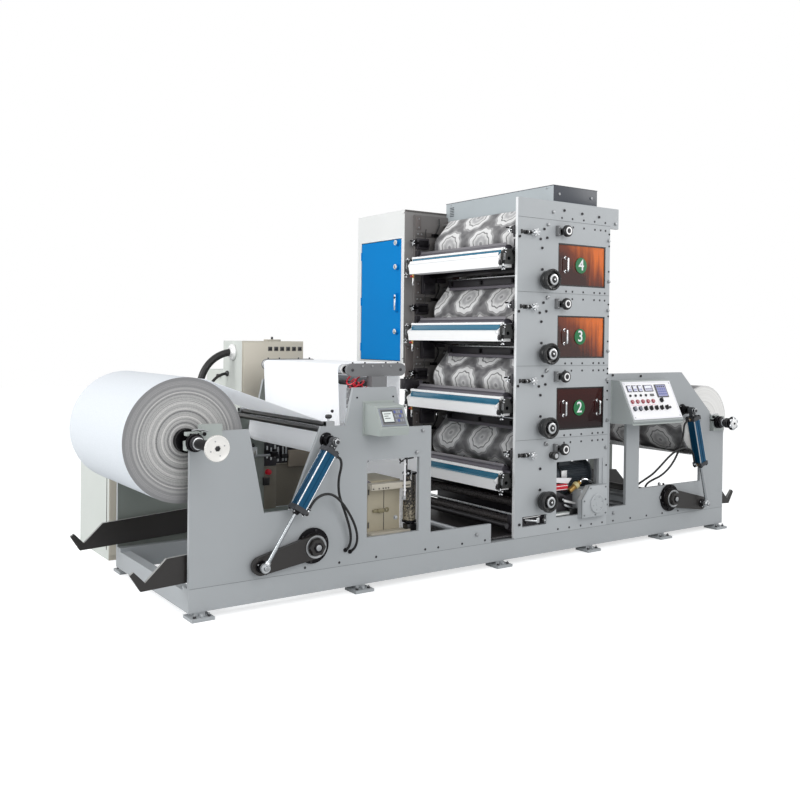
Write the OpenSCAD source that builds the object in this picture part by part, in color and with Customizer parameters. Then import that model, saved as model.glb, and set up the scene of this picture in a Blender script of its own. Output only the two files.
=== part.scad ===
// Stack flexographic printing press: four printing units one above the other
// between two side frames, an unwinder at -X and a rewinder at +X.
// The web runs along X, the operator side is -Y and Z is up from the floor.
// Places are measured from the base's left end, the operator face and the floor,
// and inPress() moves them so that the origin lies in the middle of the base.

/* [Frame] */
// Length of the base
base_l = 4225; // [4215:5:4240]
// Width over the two side frames
press_w = 1112; // [1108:2:1130]
// Thickness of the side plates
plate_t = 22; // [20:1:22]
// Height of the base beams above the floor
beam_z = 35; // [30:1:36]

/* [Printing tower] */
// Left end of the tower
tower_x0 = 2130; // [2120:5:2135]
// Right end of the tower
tower_x1 = 2960; // [2955:5:2970]
// Top of the lowest unit
unit_1_top = 767; // [765:1:769]
// Height of each further unit
unit_pitch = 466; // [464:1:468]

/* [Cylinders] */
// Radius of the impression cylinders
impression_r = 108; // [106:1:108]
// Radius of the plate cylinders
plate_cyl_r = 75; // [72:1:75]
// Radius of the anilox rollers
anilox_r = 44; // [40:1:44]
// Radius of the fountain rollers that dip in the ink trays
fountain_r = 33; // [30:1:33]
// Radius of the guide rollers
idler_r = 22; // [20:1:22]
// Thickness of the modelled paper web
web_t = 1.6; // [1:0.2:2]

/* [Reels] */
// Radius of the full paper roll
roll_r = 315; // [250:5:315]
// Radius of the printed roll
printed_roll_r = 262; // [200:2:262]
// Width of the paper
paper_w = 905; // [860:5:905]

/* [Operator controls] */
// Radius of the impression handwheels
wheel_r = 68; // [60:1:70]
// Distance from the frame to the back of a handwheel
wheel_gap = 66; // [60:2:80]

/* [Drive cabinet] */
// Bottom of the hanging cabinet with the blue door
cabinet_z0 = 1218; // [1210:2:1220]
// Top of the hanging cabinet
cabinet_z1 = 2318; // [2280:2:2320]

/* [Hidden] */
$fn = 48;
units = [1, 2, 3, 4];
sill_z = 155;
crown_z = unit_1_top + 3 * unit_pitch;
top_z = crown_z + 120;
inner_y = press_w - plate_t;
paper_y = (press_w - paper_w) / 2;
slack = 0.06;

reel_axis = [14, 878];
rewind_axis = [4130, 800];
lift_pivot = [690, 290];
rewind_pivot = [3605, 280];
unwind_clevis = [770, 848];
rewind_clevis = [3738, 905];

function unit_top(k) = unit_1_top + (k - 1) * unit_pitch;
function unit_foot(k) = k == 1 ? sill_z : unit_top(k - 1);

// Moves the press so that the middle of the base on the floor is the origin
module inPress() {
    translate([-base_l / 2, -press_w / 2, 0]) children();
}

// Draws its children on the operator side and mirrored on the drive side
module bothSides() {
    children();
    translate([0, press_w, 0]) mirror([0, 1, 0]) children();
}

// Extrudes an outline drawn in X and Z from y0 to y1
module across(y0, y1) {
    translate([0, y1, 0]) rotate([90, 0, 0]) linear_extrude(y1 - y0) children();
}

// Extrudes an outline drawn in Y and Z from x0 to x1
module along(x0, x1) {
    translate([x0, 0, 0]) rotate([90, 0, 90]) linear_extrude(x1 - x0) children();
}

// A round bar along Y
module bar(at, r, y0, y1) {
    translate([at[0], y0, at[1]]) rotate([-90, 0, 0]) cylinder(r = r, h = y1 - y0);
}

// A box between two corners
module block(low, high) {
    translate(low) cube(high - low);
}

// A roller with thinner journals that reach from plate to plate
module roller(at, r, face_y, journal_r, journal_y) {
    bar(at, r, face_y, press_w - face_y);
    bar(at, journal_r, journal_y, press_w - journal_y);
}

// ---- Base ----

module base_beams() {
    color("darkgray") inPress() bothSides() block([0, 0, beam_z], [base_l, 80, sill_z]);
}

crossbeam_x = [0, 940, 1940, 2560, 2880, 3480, 4030, 4165];
crossbeam_top = 135;
module base_crossbeams() {
    color("darkgray") inPress() for (x = crossbeam_x)
        block([x, 80, beam_z], [x + 60, press_w - 80, crossbeam_top]);
}

// Flat feet that stand out past the beams, each with one anchor hole
foot_x = [60, 1000, 2020, 2805, 3534, 4165];
foot_t = 16;
anchor_y = -22;
anchor_r = 8;
module levelling_feet() {
    color("silver") inPress() bothSides() for (x = foot_x) {
        difference() {
            block([x - 60, -45, 0], [x + 60, 70, foot_t]);
            translate([x, anchor_y, -1]) cylinder(r = anchor_r, h = foot_t + 2);
        }
        block([x - 30, 5, foot_t], [x + 30, 55, beam_z]);
    }
}

// Dark steel floor between the frames; the plain web passes below it
drip_z = 172;
drip_t = 8;
module drip_floor() {
    color("dimgray") inPress() for (run = [[1520, 2380], [2460, 2880]])
        block([run[0], plate_t, drip_z], [run[1], inner_y, drip_z + drip_t]);
}

// ---- Side plates ----

notch_z = 490;
shoulder_z = 920;
post_top = 1125;
saddle_z = 838;
module unwind_side_plates() {
    color("silver") inPress() bothSides() across(0, plate_t) difference() {
        polygon([[0, sill_z], [0, saddle_z], [165, saddle_z], [165, 927], [315, 927],
            [405, notch_z], [558, notch_z], [740, shoulder_z], [894, shoulder_z],
            [939, post_top], [1222, post_top], [1270, 893], [1475, 893], [1478, 270],
            [1940, 270], [1940, sill_z]]);
        translate([1036, 290]) square([356, 428]);
        translate(lift_pivot) circle(r = 41);
    }
}

rewind_saddle_z = 735;
module rewind_side_plates() {
    color("silver") inPress() bothSides() across(0, plate_t) difference() {
        polygon([[tower_x1, sill_z], [tower_x1, 1175], [3728, 1175], [4060, 877],
            [4060, rewind_saddle_z], [base_l, rewind_saddle_z], [base_l, sill_z]]);
        translate([2984, 270]) square([167, 571]);
        translate([3282, 372]) square([673, 458]);
        translate(rewind_pivot) circle(r = 41);
    }
}

// Side plates of one unit; they stand on each other with a fine joint line
seam = 2;
wheel_at = [2350, -389];
slot_at = [2178, -108];
slot = [84, 26];
window_at = [2480, -418];
window = [438, 275];
module unit_side_plates(k) {
    color("silver") inPress() bothSides() difference() {
        across(0, plate_t) difference() {
            polygon([[tower_x0, unit_foot(k)], [tower_x0, unit_top(k)],
                [tower_x1, unit_top(k)], [tower_x1, unit_foot(k)]]);
            if (k == 1) {
                translate([2490, 250]) square([393, 360]);
                translate([2197, 220]) square([207, 64]);
            } else
                translate([window_at[0], unit_top(k) + window_at[1]]) square(window);
            translate([slot_at[0], unit_top(k) + slot_at[1]]) square(slot);
            translate([wheel_at[0], unit_top(k) + wheel_at[1]]) circle(r = 12 + slack);
        }
        block([tower_x0 - 1, -1, unit_top(k) - seam], [tower_x1 + 1, 1.5, unit_top(k) + 1]);
    }
}

module crown_plates() {
    color("silver") inPress() bothSides() across(0, plate_t)
        polygon([[tower_x0, crown_z], [tower_x0, top_z], [3040, top_z], [3040, crown_z - 15],
            [tower_x1, crown_z - 15], [tower_x1, crown_z]]);
}

duct_x = [2428, 2828];
duct_z = [crown_z + 93, crown_z + 223];
module top_duct() {
    color("lightsteelblue") inPress() {
        block([duct_x[0], plate_t, duct_z[0]], [duct_x[1], inner_y, duct_z[1]]);
        block([duct_x[0], 0, top_z], [duct_x[1], press_w, duct_z[1]]);
    }
}

tie_bar_at = [[985, 800], [1385, 760], [1160, 240], [1320, 240], [1800, 215], [3216, 330],
    [3216, 250], [3060, 1000], [3640, 1120]];
infeed_bar = [795, 926];
infeed_bar_r = 14;
module tie_bars() {
    color("gray") inPress() {
        for (at = tie_bar_at) bar(at, 22, plate_t, inner_y);
        for (k = units) {
            bar([2926, unit_top(k) - 60], 18, plate_t, inner_y);
            bar([2600, unit_top(k) - 60], 16, plate_t, inner_y);
        }
        // Two bars at the infeed: the web runs over the upper one, which lies on
        // saddles on the shoulders of the plates
        bar(infeed_bar, infeed_bar_r, 34, press_w - 34);
        bar([768, 902], 13, plate_t, inner_y);
        bothSides() block([770, 0, shoulder_z], [822, 34, 946]);
    }
}

// ---- Windows ----

module window_doors() {
    color("sienna") inPress() bothSides() for (k = [2, 3, 4])
        translate([window_at[0], 6, unit_top(k) + window_at[1]]) cube([window[0], 8, window[1]]);
}

handle_h = 100;
module handle(x, z) {
    translate([x, -22, z]) cylinder(r = 6, h = handle_h);
    for (end = [6, handle_h - 6]) bar([x, z + end], 5, -22, 6);
}
module window_handles() {
    color("silver") inPress() bothSides() {
        for (k = [2, 3, 4]) handle(2548, unit_top(k) - 330);
        handle(2862, unit_top(2) - 330);
    }
}

// ---- Printing units ----

impression_at = [2360, -112];
plate_cyl_at = [2253.6, -263.8];
anilox_at = [2144.8, -212.6];
fountain_at = [2085, -262.8];
function in_unit(at, k) = [at[0], unit_top(k) + at[1]];

module impression_cylinders() {
    color("silver") inPress() for (k = units)
        roller(in_unit(impression_at, k), impression_r, 90, 25, plate_t);
}

module plate_cylinders() {
    color("dimgray") inPress() for (k = units)
        roller(in_unit(plate_cyl_at, k), plate_cyl_r, 100, 20, plate_t);
}

module anilox_rollers() {
    color("slategray") inPress() for (k = units)
        roller(in_unit(anilox_at, k), anilox_r, 100, 16, plate_t);
}

module fountain_rollers() {
    color("teal") inPress() for (k = units)
        roller(in_unit(fountain_at, k), fountain_r, 92, 12, 66);
}

// Pan under each fountain roller, with a wiper bar carried by its end plates
tray_x = [2036, 2152];
module ink_trays() {
    color("white") inPress() for (k = units) translate([0, 0, unit_top(k)]) {
        across(84, press_w - 84)
            polygon([[tray_x[0], -247], [tray_x[0] + 4, -247], [tray_x[0] + 14, -306],
                [tray_x[1] - 8, -306], [tray_x[1] - 8, -264], [tray_x[1] - 4, -264],
                [tray_x[1] - 4, -314], [tray_x[0] + 10, -314]]);
        for (y = [76, press_w - 84]) across(y, y + 8) difference() {
            polygon([[tray_x[0], -247], [2070, -226], [2070, -192], [2092, -192], [2116, -236],
                [tray_x[1] - 4, -264], [tray_x[1] - 4, -314], [tray_x[0] + 10, -314]]);
            translate(fountain_at) circle(r = 14);
        }
        block([2072, 84, -202], [2090, press_w - 84, -194]);
    }
}

// Bearing blocks that carry the fountain roller and the tray
module tray_brackets() {
    color("black") inPress() bothSides() for (k = units) translate([0, 0, unit_top(k)]) {
        across(30, 66) difference() {
            polygon([[2050, -296], [2050, -222], [2068, -204], [2112, -204], [2116, -238],
                [2178, -238], [2178, -282], [2140, -296]]);
            translate(fountain_at) circle(r = 12 + slack);
        }
        block([2132, plate_t, -282], [2178, 30, -238]);
        block([2060, 66, -296], [2140, 76, -278]);
    }
}

// ---- Web ----

// A web path is a list of [x, z, r]: r is the radius of the paper's middle round
// that roller, positive when the roller lies to the left of the travel.
paper_off = web_t / 2 + 0.5;
roll_gap = 6;
guide_1 = [860, 806, 60];
bottom_z = 180;
infeed_path = [
    [reel_axis[0], reel_axis[1], -(roll_r + roll_gap)],
    [infeed_bar[0], infeed_bar[1], -infeed_bar_r - paper_off],
    [guide_1[0], guide_1[1], guide_1[2] + paper_off],
    [930, 1222, -28 - paper_off],
    [1290, 1222, -28 - paper_off],
    [1342.6, 865, idler_r + paper_off],
    [1437.4, 740, -idler_r - paper_off],
    [1484, bottom_z, idler_r + paper_off],
    [2418, bottom_z, idler_r + paper_off],
    [2418, unit_top(1) - 244.6, idler_r + paper_off]];
function unit_path(k) = let (z = unit_top(k) + impression_at[1]) [
    [impression_at[0], z, -impression_r - paper_off],
    [2395, z + 175, -idler_r - paper_off]];
function link_path(k) = [
    [2452, unit_top(k) + 40, idler_r + paper_off],
    [2452, unit_top(k + 1) - 244.6, idler_r + paper_off]];
exit_path = [
    [2868, unit_top(4) + 63, -idler_r - paper_off],
    [2912, 768, idler_r + paper_off],
    [rewind_axis[0], rewind_axis[1], printed_roll_r + roll_gap]];
web_path = concat(infeed_path, unit_path(1), link_path(1), unit_path(2), link_path(2),
    unit_path(3), link_path(3), unit_path(4), exit_path);
first_print = len(infeed_path);
last_roll = len(web_path) - 1;

function flat(p) = [p[0], p[1]];
function heading(a, b) = let (d = flat(b) - flat(a))
    atan2(d[1], d[0]) - asin((b[2] - a[2]) / norm(d));
function aim(h) = [cos(h), sin(h)];
function left_of(h) = [-sin(h), cos(h)];
function touch(p, h) = flat(p) - p[2] * left_of(h);
function turn(r, h0, h1) = let (d = h1 - h0)
    r > 0 ? d - 360 * floor(d / 360) : d - 360 * ceil(d / 360);
function run_heading(i) = heading(web_path[i], web_path[i + 1]);

join = 0.5;
module web_run(i) {
    h = run_heading(i);
    a = touch(web_path[i], h) + join * aim(h);
    b = touch(web_path[i + 1], h) - join * aim(h);
    n = web_t / 2 * left_of(h);
    across(paper_y, press_w - paper_y) polygon([a - n, b - n, b + n, a + n]);
}

module web_wrap(i) {
    p = web_path[i];
    h0 = run_heading(i - 1);
    sweep = turn(p[2], h0, run_heading(i));
    steps = max(1, ceil(abs(sweep) / (abs(p[2]) > 60 ? 6 : 12)));
    function ring(r) = [for (s = [0:steps]) flat(p) - r * left_of(h0 + sweep * s / steps)];
    function back(list) = [for (s = [len(list) - 1:-1:0]) list[s]];
    if (abs(sweep) > 2) across(paper_y, press_w - paper_y)
        polygon(concat(ring(p[2] - web_t / 2), back(ring(p[2] + web_t / 2))));
}

module plain_web() {
    color("white") inPress() for (i = [0:first_print - 1]) {
        web_run(i);
        if (i > 0) web_wrap(i);
    }
}

module printed_web() {
    color("lightgray") inPress() for (i = [first_print:last_roll - 1]) {
        web_run(i);
        web_wrap(i);
    }
}

// Rollers that only guide the web; those on the web guide's arms are shorter
guide_face_y = 88;
module guide_rollers() {
    color("silver") inPress() for (i = [1:last_roll - 1]) {
        p = web_path[i];
        r = abs(p[2]) - paper_off;
        on_arms = i == 3 || i == 4;
        if (infeed_bar_r < r && r < impression_r)
            roller(flat(p), r, guide_face_y, 10, on_arms ? 55 : plate_t);
    }
}

// Swinging web guide: two arms with their rollers, on blocks on the frame
module arm_bar(x0, x1, z, r) {
    translate([x1, z]) link_outline(r, r, x1 - x0);
}
module web_guide() {
    color("gray") inPress() {
        bothSides() {
            across(33, 55) arm_bar(953, 1275, 1220, 36);
            block([1060, 0, post_top], [1160, 55, 1184]);
        }
        bar([1110, 1158], 18, 55, press_w - 55);
    }
}

// ---- Reels ----

saddle_y = [-12, 33];
journal_r = 25;
module saddle(axis, z0, x0, x1, tall) {
    across(saddle_y[0], saddle_y[1]) difference() {
        polygon([[x0, z0], [x0, axis[1] + 4], [axis[0] + 40, axis[1] + 30],
            [axis[0] + 40, axis[1] + tall], [x1, axis[1] + tall], [x1, z0]]);
        translate(axis) circle(r = journal_r + slack);
        translate([axis[0] - journal_r - slack, axis[1]]) square([2 * journal_r + 2 * slack, 100]);
    }
}
module bearing_saddles() {
    color("lightgray") inPress() bothSides() {
        saddle(reel_axis, saddle_z, -22, 165, 84);
        saddle(rewind_axis, rewind_saddle_z, 4092, 4215, 40);
    }
}

chuck_y = [66, 103.5];
module reel_shaft(axis, disc_y, disc_r) {
    bar(axis, journal_r, disc_y, press_w - disc_y);
    bar(axis, 30, 36, press_w - 36);
    bothSides() {
        bar(axis, 60, chuck_y[0], paper_y);
        bar(axis, 44.9, chuck_y[0], 180);
        bar(axis, 42, -44, -18);
        bar(axis, 34, -66, -50);
        bar(axis, disc_r, disc_y - 10, disc_y);
    }
}
module unwind_shaft() {
    color("dimgray") inPress() reel_shaft(reel_axis, -290, 62);
}
module rewind_shaft() {
    color("dimgray") inPress() reel_shaft(rewind_axis, -140, 50);
}
module reel(axis, r) {
    difference() {
        bar(axis, r, paper_y, press_w - paper_y, $fn = 96);
        bar(axis, 45, paper_y - 1, press_w - paper_y + 1);
    }
}
module paper_roll() {
    color("whitesmoke") inPress() reel(reel_axis, roll_r);
}
module printed_roll() {
    color("gainsboro") inPress() reel(rewind_axis, printed_roll_r);
}

// ---- Lift arms ----

// Points on a circle about [x, 0] from angle a0 to a1
arc_steps = 16;
function arc(x, r, a0, a1) = [for (i = [0:arc_steps]) let (a = a0 + (a1 - a0) * i / arc_steps)
    [x + r * cos(a), r * sin(a)]];

// Outline of two round ends of different radius joined by their tangents
module link_outline(r0, r1, d) {
    lean = 90 + asin((r0 - r1) / d);
    polygon(concat(arc(0, r0, lean, -lean), arc(-d, r1, 360 - lean, lean)));
}

// A lift arm drawn towards -X from its pivot, with a hook whose seat lies at the reach
seat_drop = 48;
hub_r = 75;
module hook_outline(reach) {
    vee = [-reach, -seat_drop];
    polygon(concat(arc(0, hub_r, 90, -90), [vee + [-23, -39], vee + [-74, 48],
        vee + [-54, 61], vee, vee + [110, 99]]));
}

lift_rest = 2.2;
crank_rest = 11;
crank_l = 324;
lift_shaft_r = 40;
arm_y = [40, 60];
crank_y = [-43, -17];
module lift_arms(pivot, reach, flip) {
    bar(pivot, lift_shaft_r, -58, press_w + 58);
    bothSides() {
        across(arm_y[0], arm_y[1]) translate(pivot) mirror([flip, 0])
            rotate(lift_rest) hook_outline(reach);
        across(crank_y[0], crank_y[1]) translate(pivot) mirror([flip, 0])
            rotate(crank_rest) link_outline(64, 48, crank_l);
        translate([pivot[0], crank_y[0] - 26, pivot[1]]) rotate([-90, 0, 0])
            cylinder(r = 46, h = 27, $fn = 6);
    }
}
module unwind_lift_arms() {
    color("black") inPress() lift_arms(lift_pivot, norm(reel_axis - lift_pivot), 0);
}
module rewind_lift_arms() {
    color("black") inPress() lift_arms(rewind_pivot, norm(rewind_axis - rewind_pivot), 1);
}

cyl_y = -86;
unwind_pin = lift_pivot + crank_l * aim(180 + crank_rest);
rewind_pin = rewind_pivot + crank_l * aim(-crank_rest);
pin_r = 12;

// Turns a cylinder drawn along +X from its clevis so that it points at its far pin
module from_clevis(clevis, pin) {
    d = pin - clevis;
    translate([clevis[0], cyl_y, clevis[1]]) rotate([0, -atan2(d[1], d[0]), 0]) children();
}

cap_half = 38;
cap_1 = [45, 71];
cap_2 = [385, 411];
barrel_bore = 30;
module barrel(port_side) {
    difference() {
        union() {
            rotate([90, 0, 0]) cylinder(r = 24, h = 36, center = true);
            block([0, -14, -20], [cap_1[0], 14, 20]);
            for (c = [cap_1, cap_2])
                block([c[0], -cap_half, -cap_half], [c[1], cap_half, cap_half]);
            translate([cap_1[1] - 1, 0, 0]) rotate([90, 0, 90])
                linear_extrude(cap_2[0] - cap_1[1] + 2) tube_outline();
            translate([cap_2[1] - 1, 0, 0]) rotate([0, 90, 0]) cylinder(r = 17, h = 15);
            // Air ports; the lower one turns up beside the barrel
            translate([58, 0, 0]) mirror([0, 0, port_side]) cylinder(r = 9, h = 60);
            translate([398, 0, 0]) mirror([0, 0, port_side]) cylinder(r = 9, h = 62);
            translate([370, 0, port_side == 0 ? 62 : -62]) rotate([0, 90, 0])
                cylinder(r = 9, h = 28);
        }
        translate([cap_1[1] - 5, 0, 0]) rotate([0, 90, 0])
            cylinder(r = barrel_bore, h = cap_2[0] - cap_1[1] + 5);
        translate([cap_2[0] - 1, 0, 0]) rotate([0, 90, 0]) cylinder(r = 10 + slack, h = 60);
        rotate([90, 0, 0]) cylinder(r = pin_r + slack, h = 50, center = true);
    }
}
// Square drawn barrel with chamfered corners and a groove down each side
module tube_outline() {
    difference() {
        polygon([[-34, -26], [-26, -34], [26, -34], [34, -26], [34, 26], [26, 34], [-26, 34],
            [-34, 26]]);
        for (a = [0:90:270]) rotate(a) translate([31.5, -3]) square([5, 6]);
    }
}
module unwind_barrels() {
    color("steelblue") inPress() bothSides() from_clevis(unwind_clevis, unwind_pin) barrel(0);
}
module rewind_barrels() {
    color("steelblue") inPress() bothSides() from_clevis(rewind_clevis, rewind_pin) barrel(1);
}

// Piston, rod and rod end; the pin that stands in the crank rides with the rod end
piston_x = [340, 360];
module rod(l) {
    translate([piston_x[0], 0, 0]) rotate([0, 90, 0])
        cylinder(r = barrel_bore - slack, h = piston_x[1] - piston_x[0]);
    translate([piston_x[1] - 1, 0, 0]) rotate([0, 90, 0]) cylinder(r = 10, h = l - piston_x[1] - 15);
    translate([l - 36, 0, 0]) rotate([0, 90, 0]) cylinder(r = 14, h = 16);
    rotate([90, 0, 0]) translate([l, 0, -12]) cylinder(r = 24, h = 24);
    rotate([-90, 0, 0]) translate([l, 0, -18]) cylinder(r = pin_r, h = 18 - cyl_y + crank_y[0] - 2);
}
module unwind_rods() {
    color("silver") inPress() bothSides() from_clevis(unwind_clevis, unwind_pin)
        rod(norm(unwind_pin - unwind_clevis));
}
module rewind_rods() {
    color("silver") inPress() bothSides() from_clevis(rewind_clevis, rewind_pin)
        rod(norm(rewind_pin - rewind_clevis));
}

// Shaft flanges, cylinder pins and hose fittings that are fixed to the plates
grommets = [[896, 240], [926, 228]];
valve_block = [[3270, 22, 300], [3440, 66, 362]];
module lift_brackets() {
    color("dimgray") inPress() bothSides() {
        for (pivot = [lift_pivot, rewind_pivot]) difference() {
            bar(pivot, 95, -12, 0);
            bar(pivot, lift_shaft_r + slack, -13, 1);
        }
        for (clevis = [unwind_clevis, rewind_clevis]) {
            bar(clevis, 28, -50, 0);
            bar(clevis, pin_r, -118, 0);
            bar(clevis, 18, -118, -110);
        }
        for (at = grommets) bar(at, 11, -8, 0);
        block(valve_block[0], valve_block[1]);
    }
}

// ---- Hoses ----

// Routes as [x, y, z], chosen by hand
hose_r = 7;
hose_a = [[792, -86, 765], [808, -86, 752], [815, -86, 727], [812, -86, 700], [806, -84, 672],
    [802, -82, 640], [803, -79, 604], [811, -74, 562], [828, -69, 518], [849, -64, 474],
    [869, -57, 430], [888, -50, 386], [902, -44, 342], [909, -36, 302], [908, -25, 268],
    [899, -15, 246]];
hose_b = [[624, -86, 506], [637, -87, 527], [659, -88, 551], [688, -90, 568], [722, -91, 574],
    [757, -91, 567], [791, -90, 546], [824, -88, 514], [855, -84, 476], [884, -79, 434],
    [910, -72, 390], [930, -63, 344], [940, -52, 298], [939, -34, 258], [929, -15, 234]];
hose_c = [[3692, -86, 832], [3673, -86, 822], [3658, -86, 803], [3652, -86, 780],
    [3648, -86, 748], [3641, -84, 712], [3629, -80, 670], [3612, -77, 628], [3590, -73, 586],
    [3564, -67, 545], [3534, -58, 507], [3502, -44, 473], [3469, -24, 444], [3438, 4, 421],
    [3414, 30, 396], [3402, 44, 368]];
hose_d = [[3774, -86, 535], [3766, -88, 562], [3752, -91, 592], [3728, -94, 618],
    [3694, -96, 635], [3654, -97, 642], [3612, -96, 640], [3571, -93, 629], [3531, -88, 610],
    [3492, -80, 582], [3455, -70, 547], [3420, -54, 508], [3386, -32, 468], [3350, 2, 430],
    [3318, 32, 396], [3304, 44, 368]];

function unit_of(v) = v / norm(v);
function tangent(route, i) = unit_of(route[min(i + 1, len(route) - 1)] - route[max(i - 1, 0)]);
// A normal at every point, each carried on from the one before
function normals(route, i, n) = i == len(route) ? [] :
    let (t = tangent(route, i), u = unit_of(n - (n * t) * t))
    concat([u], normals(route, i + 1, u));
hose_sides = 8;
module hose(route) {
    n = normals(route, 0, [0, 1, 0]);
    kept = [for (i = [0:len(route) - 1]) if (i % 2 == 0 || i == len(route) - 1) i];
    points = [for (i = kept) for (s = [0:hose_sides - 1]) let (a = s * 360 / hose_sides)
        route[i] + hose_r * (cos(a) * n[i] + sin(a) * cross(tangent(route, i), n[i]))];
    last = (len(kept) - 1) * hose_sides;
    polyhedron(points, concat(
        [[for (s = [0:hose_sides - 1]) s]],
        [[for (s = [hose_sides - 1:-1:0]) last + s]],
        [for (i = [0:len(kept) - 2]) for (s = [0:hose_sides - 1])
            let (a = i * hose_sides + s, b = i * hose_sides + (s + 1) % hose_sides)
            [a, a + hose_sides, b + hose_sides, b]]));
}
module unwind_hoses() {
    color("black") inPress() bothSides() {
        hose(hose_a);
        hose(hose_b);
    }
}
module rewind_hoses() {
    color("black") inPress() bothSides() {
        hose(hose_c);
        hose(hose_d);
    }
}

// ---- Controls ----

module tension_box() {
    color("gainsboro") inPress() along(1010, 1200)
        polygon([[0, 868], [0, 1040], [-105, 1027], [-168, 905], [-156, 868]]);
}

desk_x = [2990, 3500];
desk_face = [[-72, 1129], [-199, 863]];
module control_desk() {
    color("dimgray") inPress() along(desk_x[0], desk_x[1])
        polygon([[0, 838], [0, 1131], desk_face[0], desk_face[1], [-190, 846]]);
}

// White operating panel that lies on the desk's sloping face
panel_t = 5;
panel_edge = 12;
panel_seat = 0.3;
module desk_panel() {
    down = unit_of(desk_face[1] - desk_face[0]);
    normal = [down[1], -down[0]];
    out = normal * panel_t;
    a = desk_face[0] + down * panel_edge + normal * panel_seat;
    b = desk_face[1] - down * panel_edge + normal * panel_seat;
    color("white") inPress() along(desk_x[0] + panel_edge, desk_x[1] - panel_edge)
        polygon([a, b, b + out, a + out]);
}

wheel_y = -wheel_gap;
module handwheel(k) {
    color("black") inPress() translate([wheel_at[0], 0, unit_top(k) + wheel_at[1]])
        rotate([90, 0, 0]) {
            translate([0, 0, -40]) cylinder(r = 12, h = 40 + wheel_gap);
            translate([0, 0, 4]) cylinder(r = 22, h = wheel_gap + 10);
            translate([0, 0, wheel_gap]) rotate_extrude() polygon([[0, 0], [wheel_r - 20, 8],
                [wheel_r - 14, 0], [wheel_r - 6, 0], [wheel_r, 8], [wheel_r, 22],
                [wheel_r - 6, 31], [wheel_r - 16, 28], [wheel_r - 22, 17], [30, 14],
                [30, 34], [0, 34]]);
        }
}

// Register knobs on brackets and star screws in the plates' slots
knob_at = [2507, -70];
module adjuster_knobs() {
    color("black") inPress() for (k = units) translate([0, 0, unit_top(k)]) {
        block([2452, -26, -102], [2474, 0, -36]);
        block([2474, -22, -80], [2490, -8, -60]);
        bar(knob_at, 15, -44, 0);
        bar(knob_at, 37, -66, -40);
        block([2186, -8, -104], [2246, 14, -86]);
        bar([2254, -95], 14, -34, 0);
        for (a = [0, 60, 120]) translate([2254, -34, -95]) rotate([0, a, 0])
            translate([-26, -6, -4]) cube([52, 12, 8]);
    }
}

// ---- Drive ----

motor_axis = [190, 490];
motor_x = [2600, 2930];
fins = 28;
module motor_outline() {
    polygon([for (i = [0:4 * fins - 1]) let (r = i % 4 < 2 ? 80 : 70, a = i * 90 / fins)
        [r * cos(a), r * sin(a)]]);
}
module drive_motor() {
    color("darkslategray") inPress() {
        along(motor_x[0] + 30, motor_x[1] - 30) translate(motor_axis) motor_outline();
        along(motor_x[0], motor_x[0] + 31) translate(motor_axis) circle(r = 74);
        along(motor_x[1] - 31, motor_x[1]) translate(motor_axis) circle(r = 76);
        block([2660, 150, motor_axis[1] + 60], [2760, 230, motor_axis[1] + 104]);
        block([2690, 140, drip_z + drip_t], [2850, 240, motor_axis[1] - 60]);
    }
}

module gearbox() {
    color("silver") inPress() {
        across(-40, 0) polygon([[2687, 232], [2687, 352], [2757, 440], [2921, 440], [2921, 232]]);
        across(0, 100) translate([2715, 262]) square([150, 150]);
        bar([2822, 320], 62, -52, -39);
    }
}

// ---- Cabinets ----

cabinet_x = [2053, 2440];
cabinet_y = [press_w, 1732];
door_y = [1142, 1675];
door_z = [1232, 2115];
wall = 12;
module hanging_cabinet() {
    color("white") inPress() difference() {
        block([cabinet_x[0], cabinet_y[0], cabinet_z0], [cabinet_x[1], cabinet_y[1], cabinet_z1]);
        block([cabinet_x[0] + wall, cabinet_y[0] + wall, cabinet_z0 + wall],
            [cabinet_x[1] - wall, cabinet_y[1] - wall, cabinet_z1 - wall]);
        block([cabinet_x[0] - 1, door_y[0], door_z[0]],
            [cabinet_x[0] + wall + 1, door_y[1], door_z[1]]);
    }
}

door_gap = 5;
lock_z = [2085, 1912, 1446];
hinge_z = [1300, 1643, 1986];
module cabinet_door() {
    color("dodgerblue") inPress() {
        block([cabinet_x[0] - 2, door_y[0] + door_gap, door_z[0] + door_gap],
            [cabinet_x[0] + 12, door_y[1] - door_gap, door_z[1] - door_gap]);
        for (z = lock_z) translate([cabinet_x[0] - 20, 1190, z]) rotate([0, 90, 0])
            cylinder(r = 20, h = 19);
        block([cabinet_x[0] - 26, 1178, 1590], [cabinet_x[0] - 1, 1202, 1722]);
        for (z = hinge_z) translate([cabinet_x[0] - 4, 1672, z]) cylinder(r = 4.5, h = 60);
    }
}

module rear_cabinets() {
    color("gray") inPress() {
        block([50, 1413, 0], [1500, 2023, 850]);
        block([938, 1413, 849], [1420, 2000, 1160]);
        block([938, 1413, 1159], [1405, 1713, 1368]);
    }
}

// Cabinet with two doors that rests on the tie bars behind the window of the post
module pump_cabinet() {
    color("tan") inPress() {
        block([1120, 134, 262], [1350, 400, 577]);
        for (x = [1123, 1237]) block([x, 130, 268], [x + 110, 135, 571]);
    }
}

// Pipe bends from the rear cabinet's side down to its lower top
module conduits() {
    color("black") inPress() {
        translate([938, 1550, 1050]) rotate([90, 0, 0]) rotate([0, 0, 90])
            rotate_extrude(angle = 90) translate([240, 0]) circle(r = 24);
        translate([698, 1550, 850]) cylinder(r = 24, h = 200);
        translate([938, 1640, 1000]) rotate([90, 0, 0]) rotate([0, 0, 90])
            rotate_extrude(angle = 90) translate([140, 0]) circle(r = 10);
        translate([798, 1640, 850]) cylinder(r = 10, h = 150);
    }
}

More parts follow.
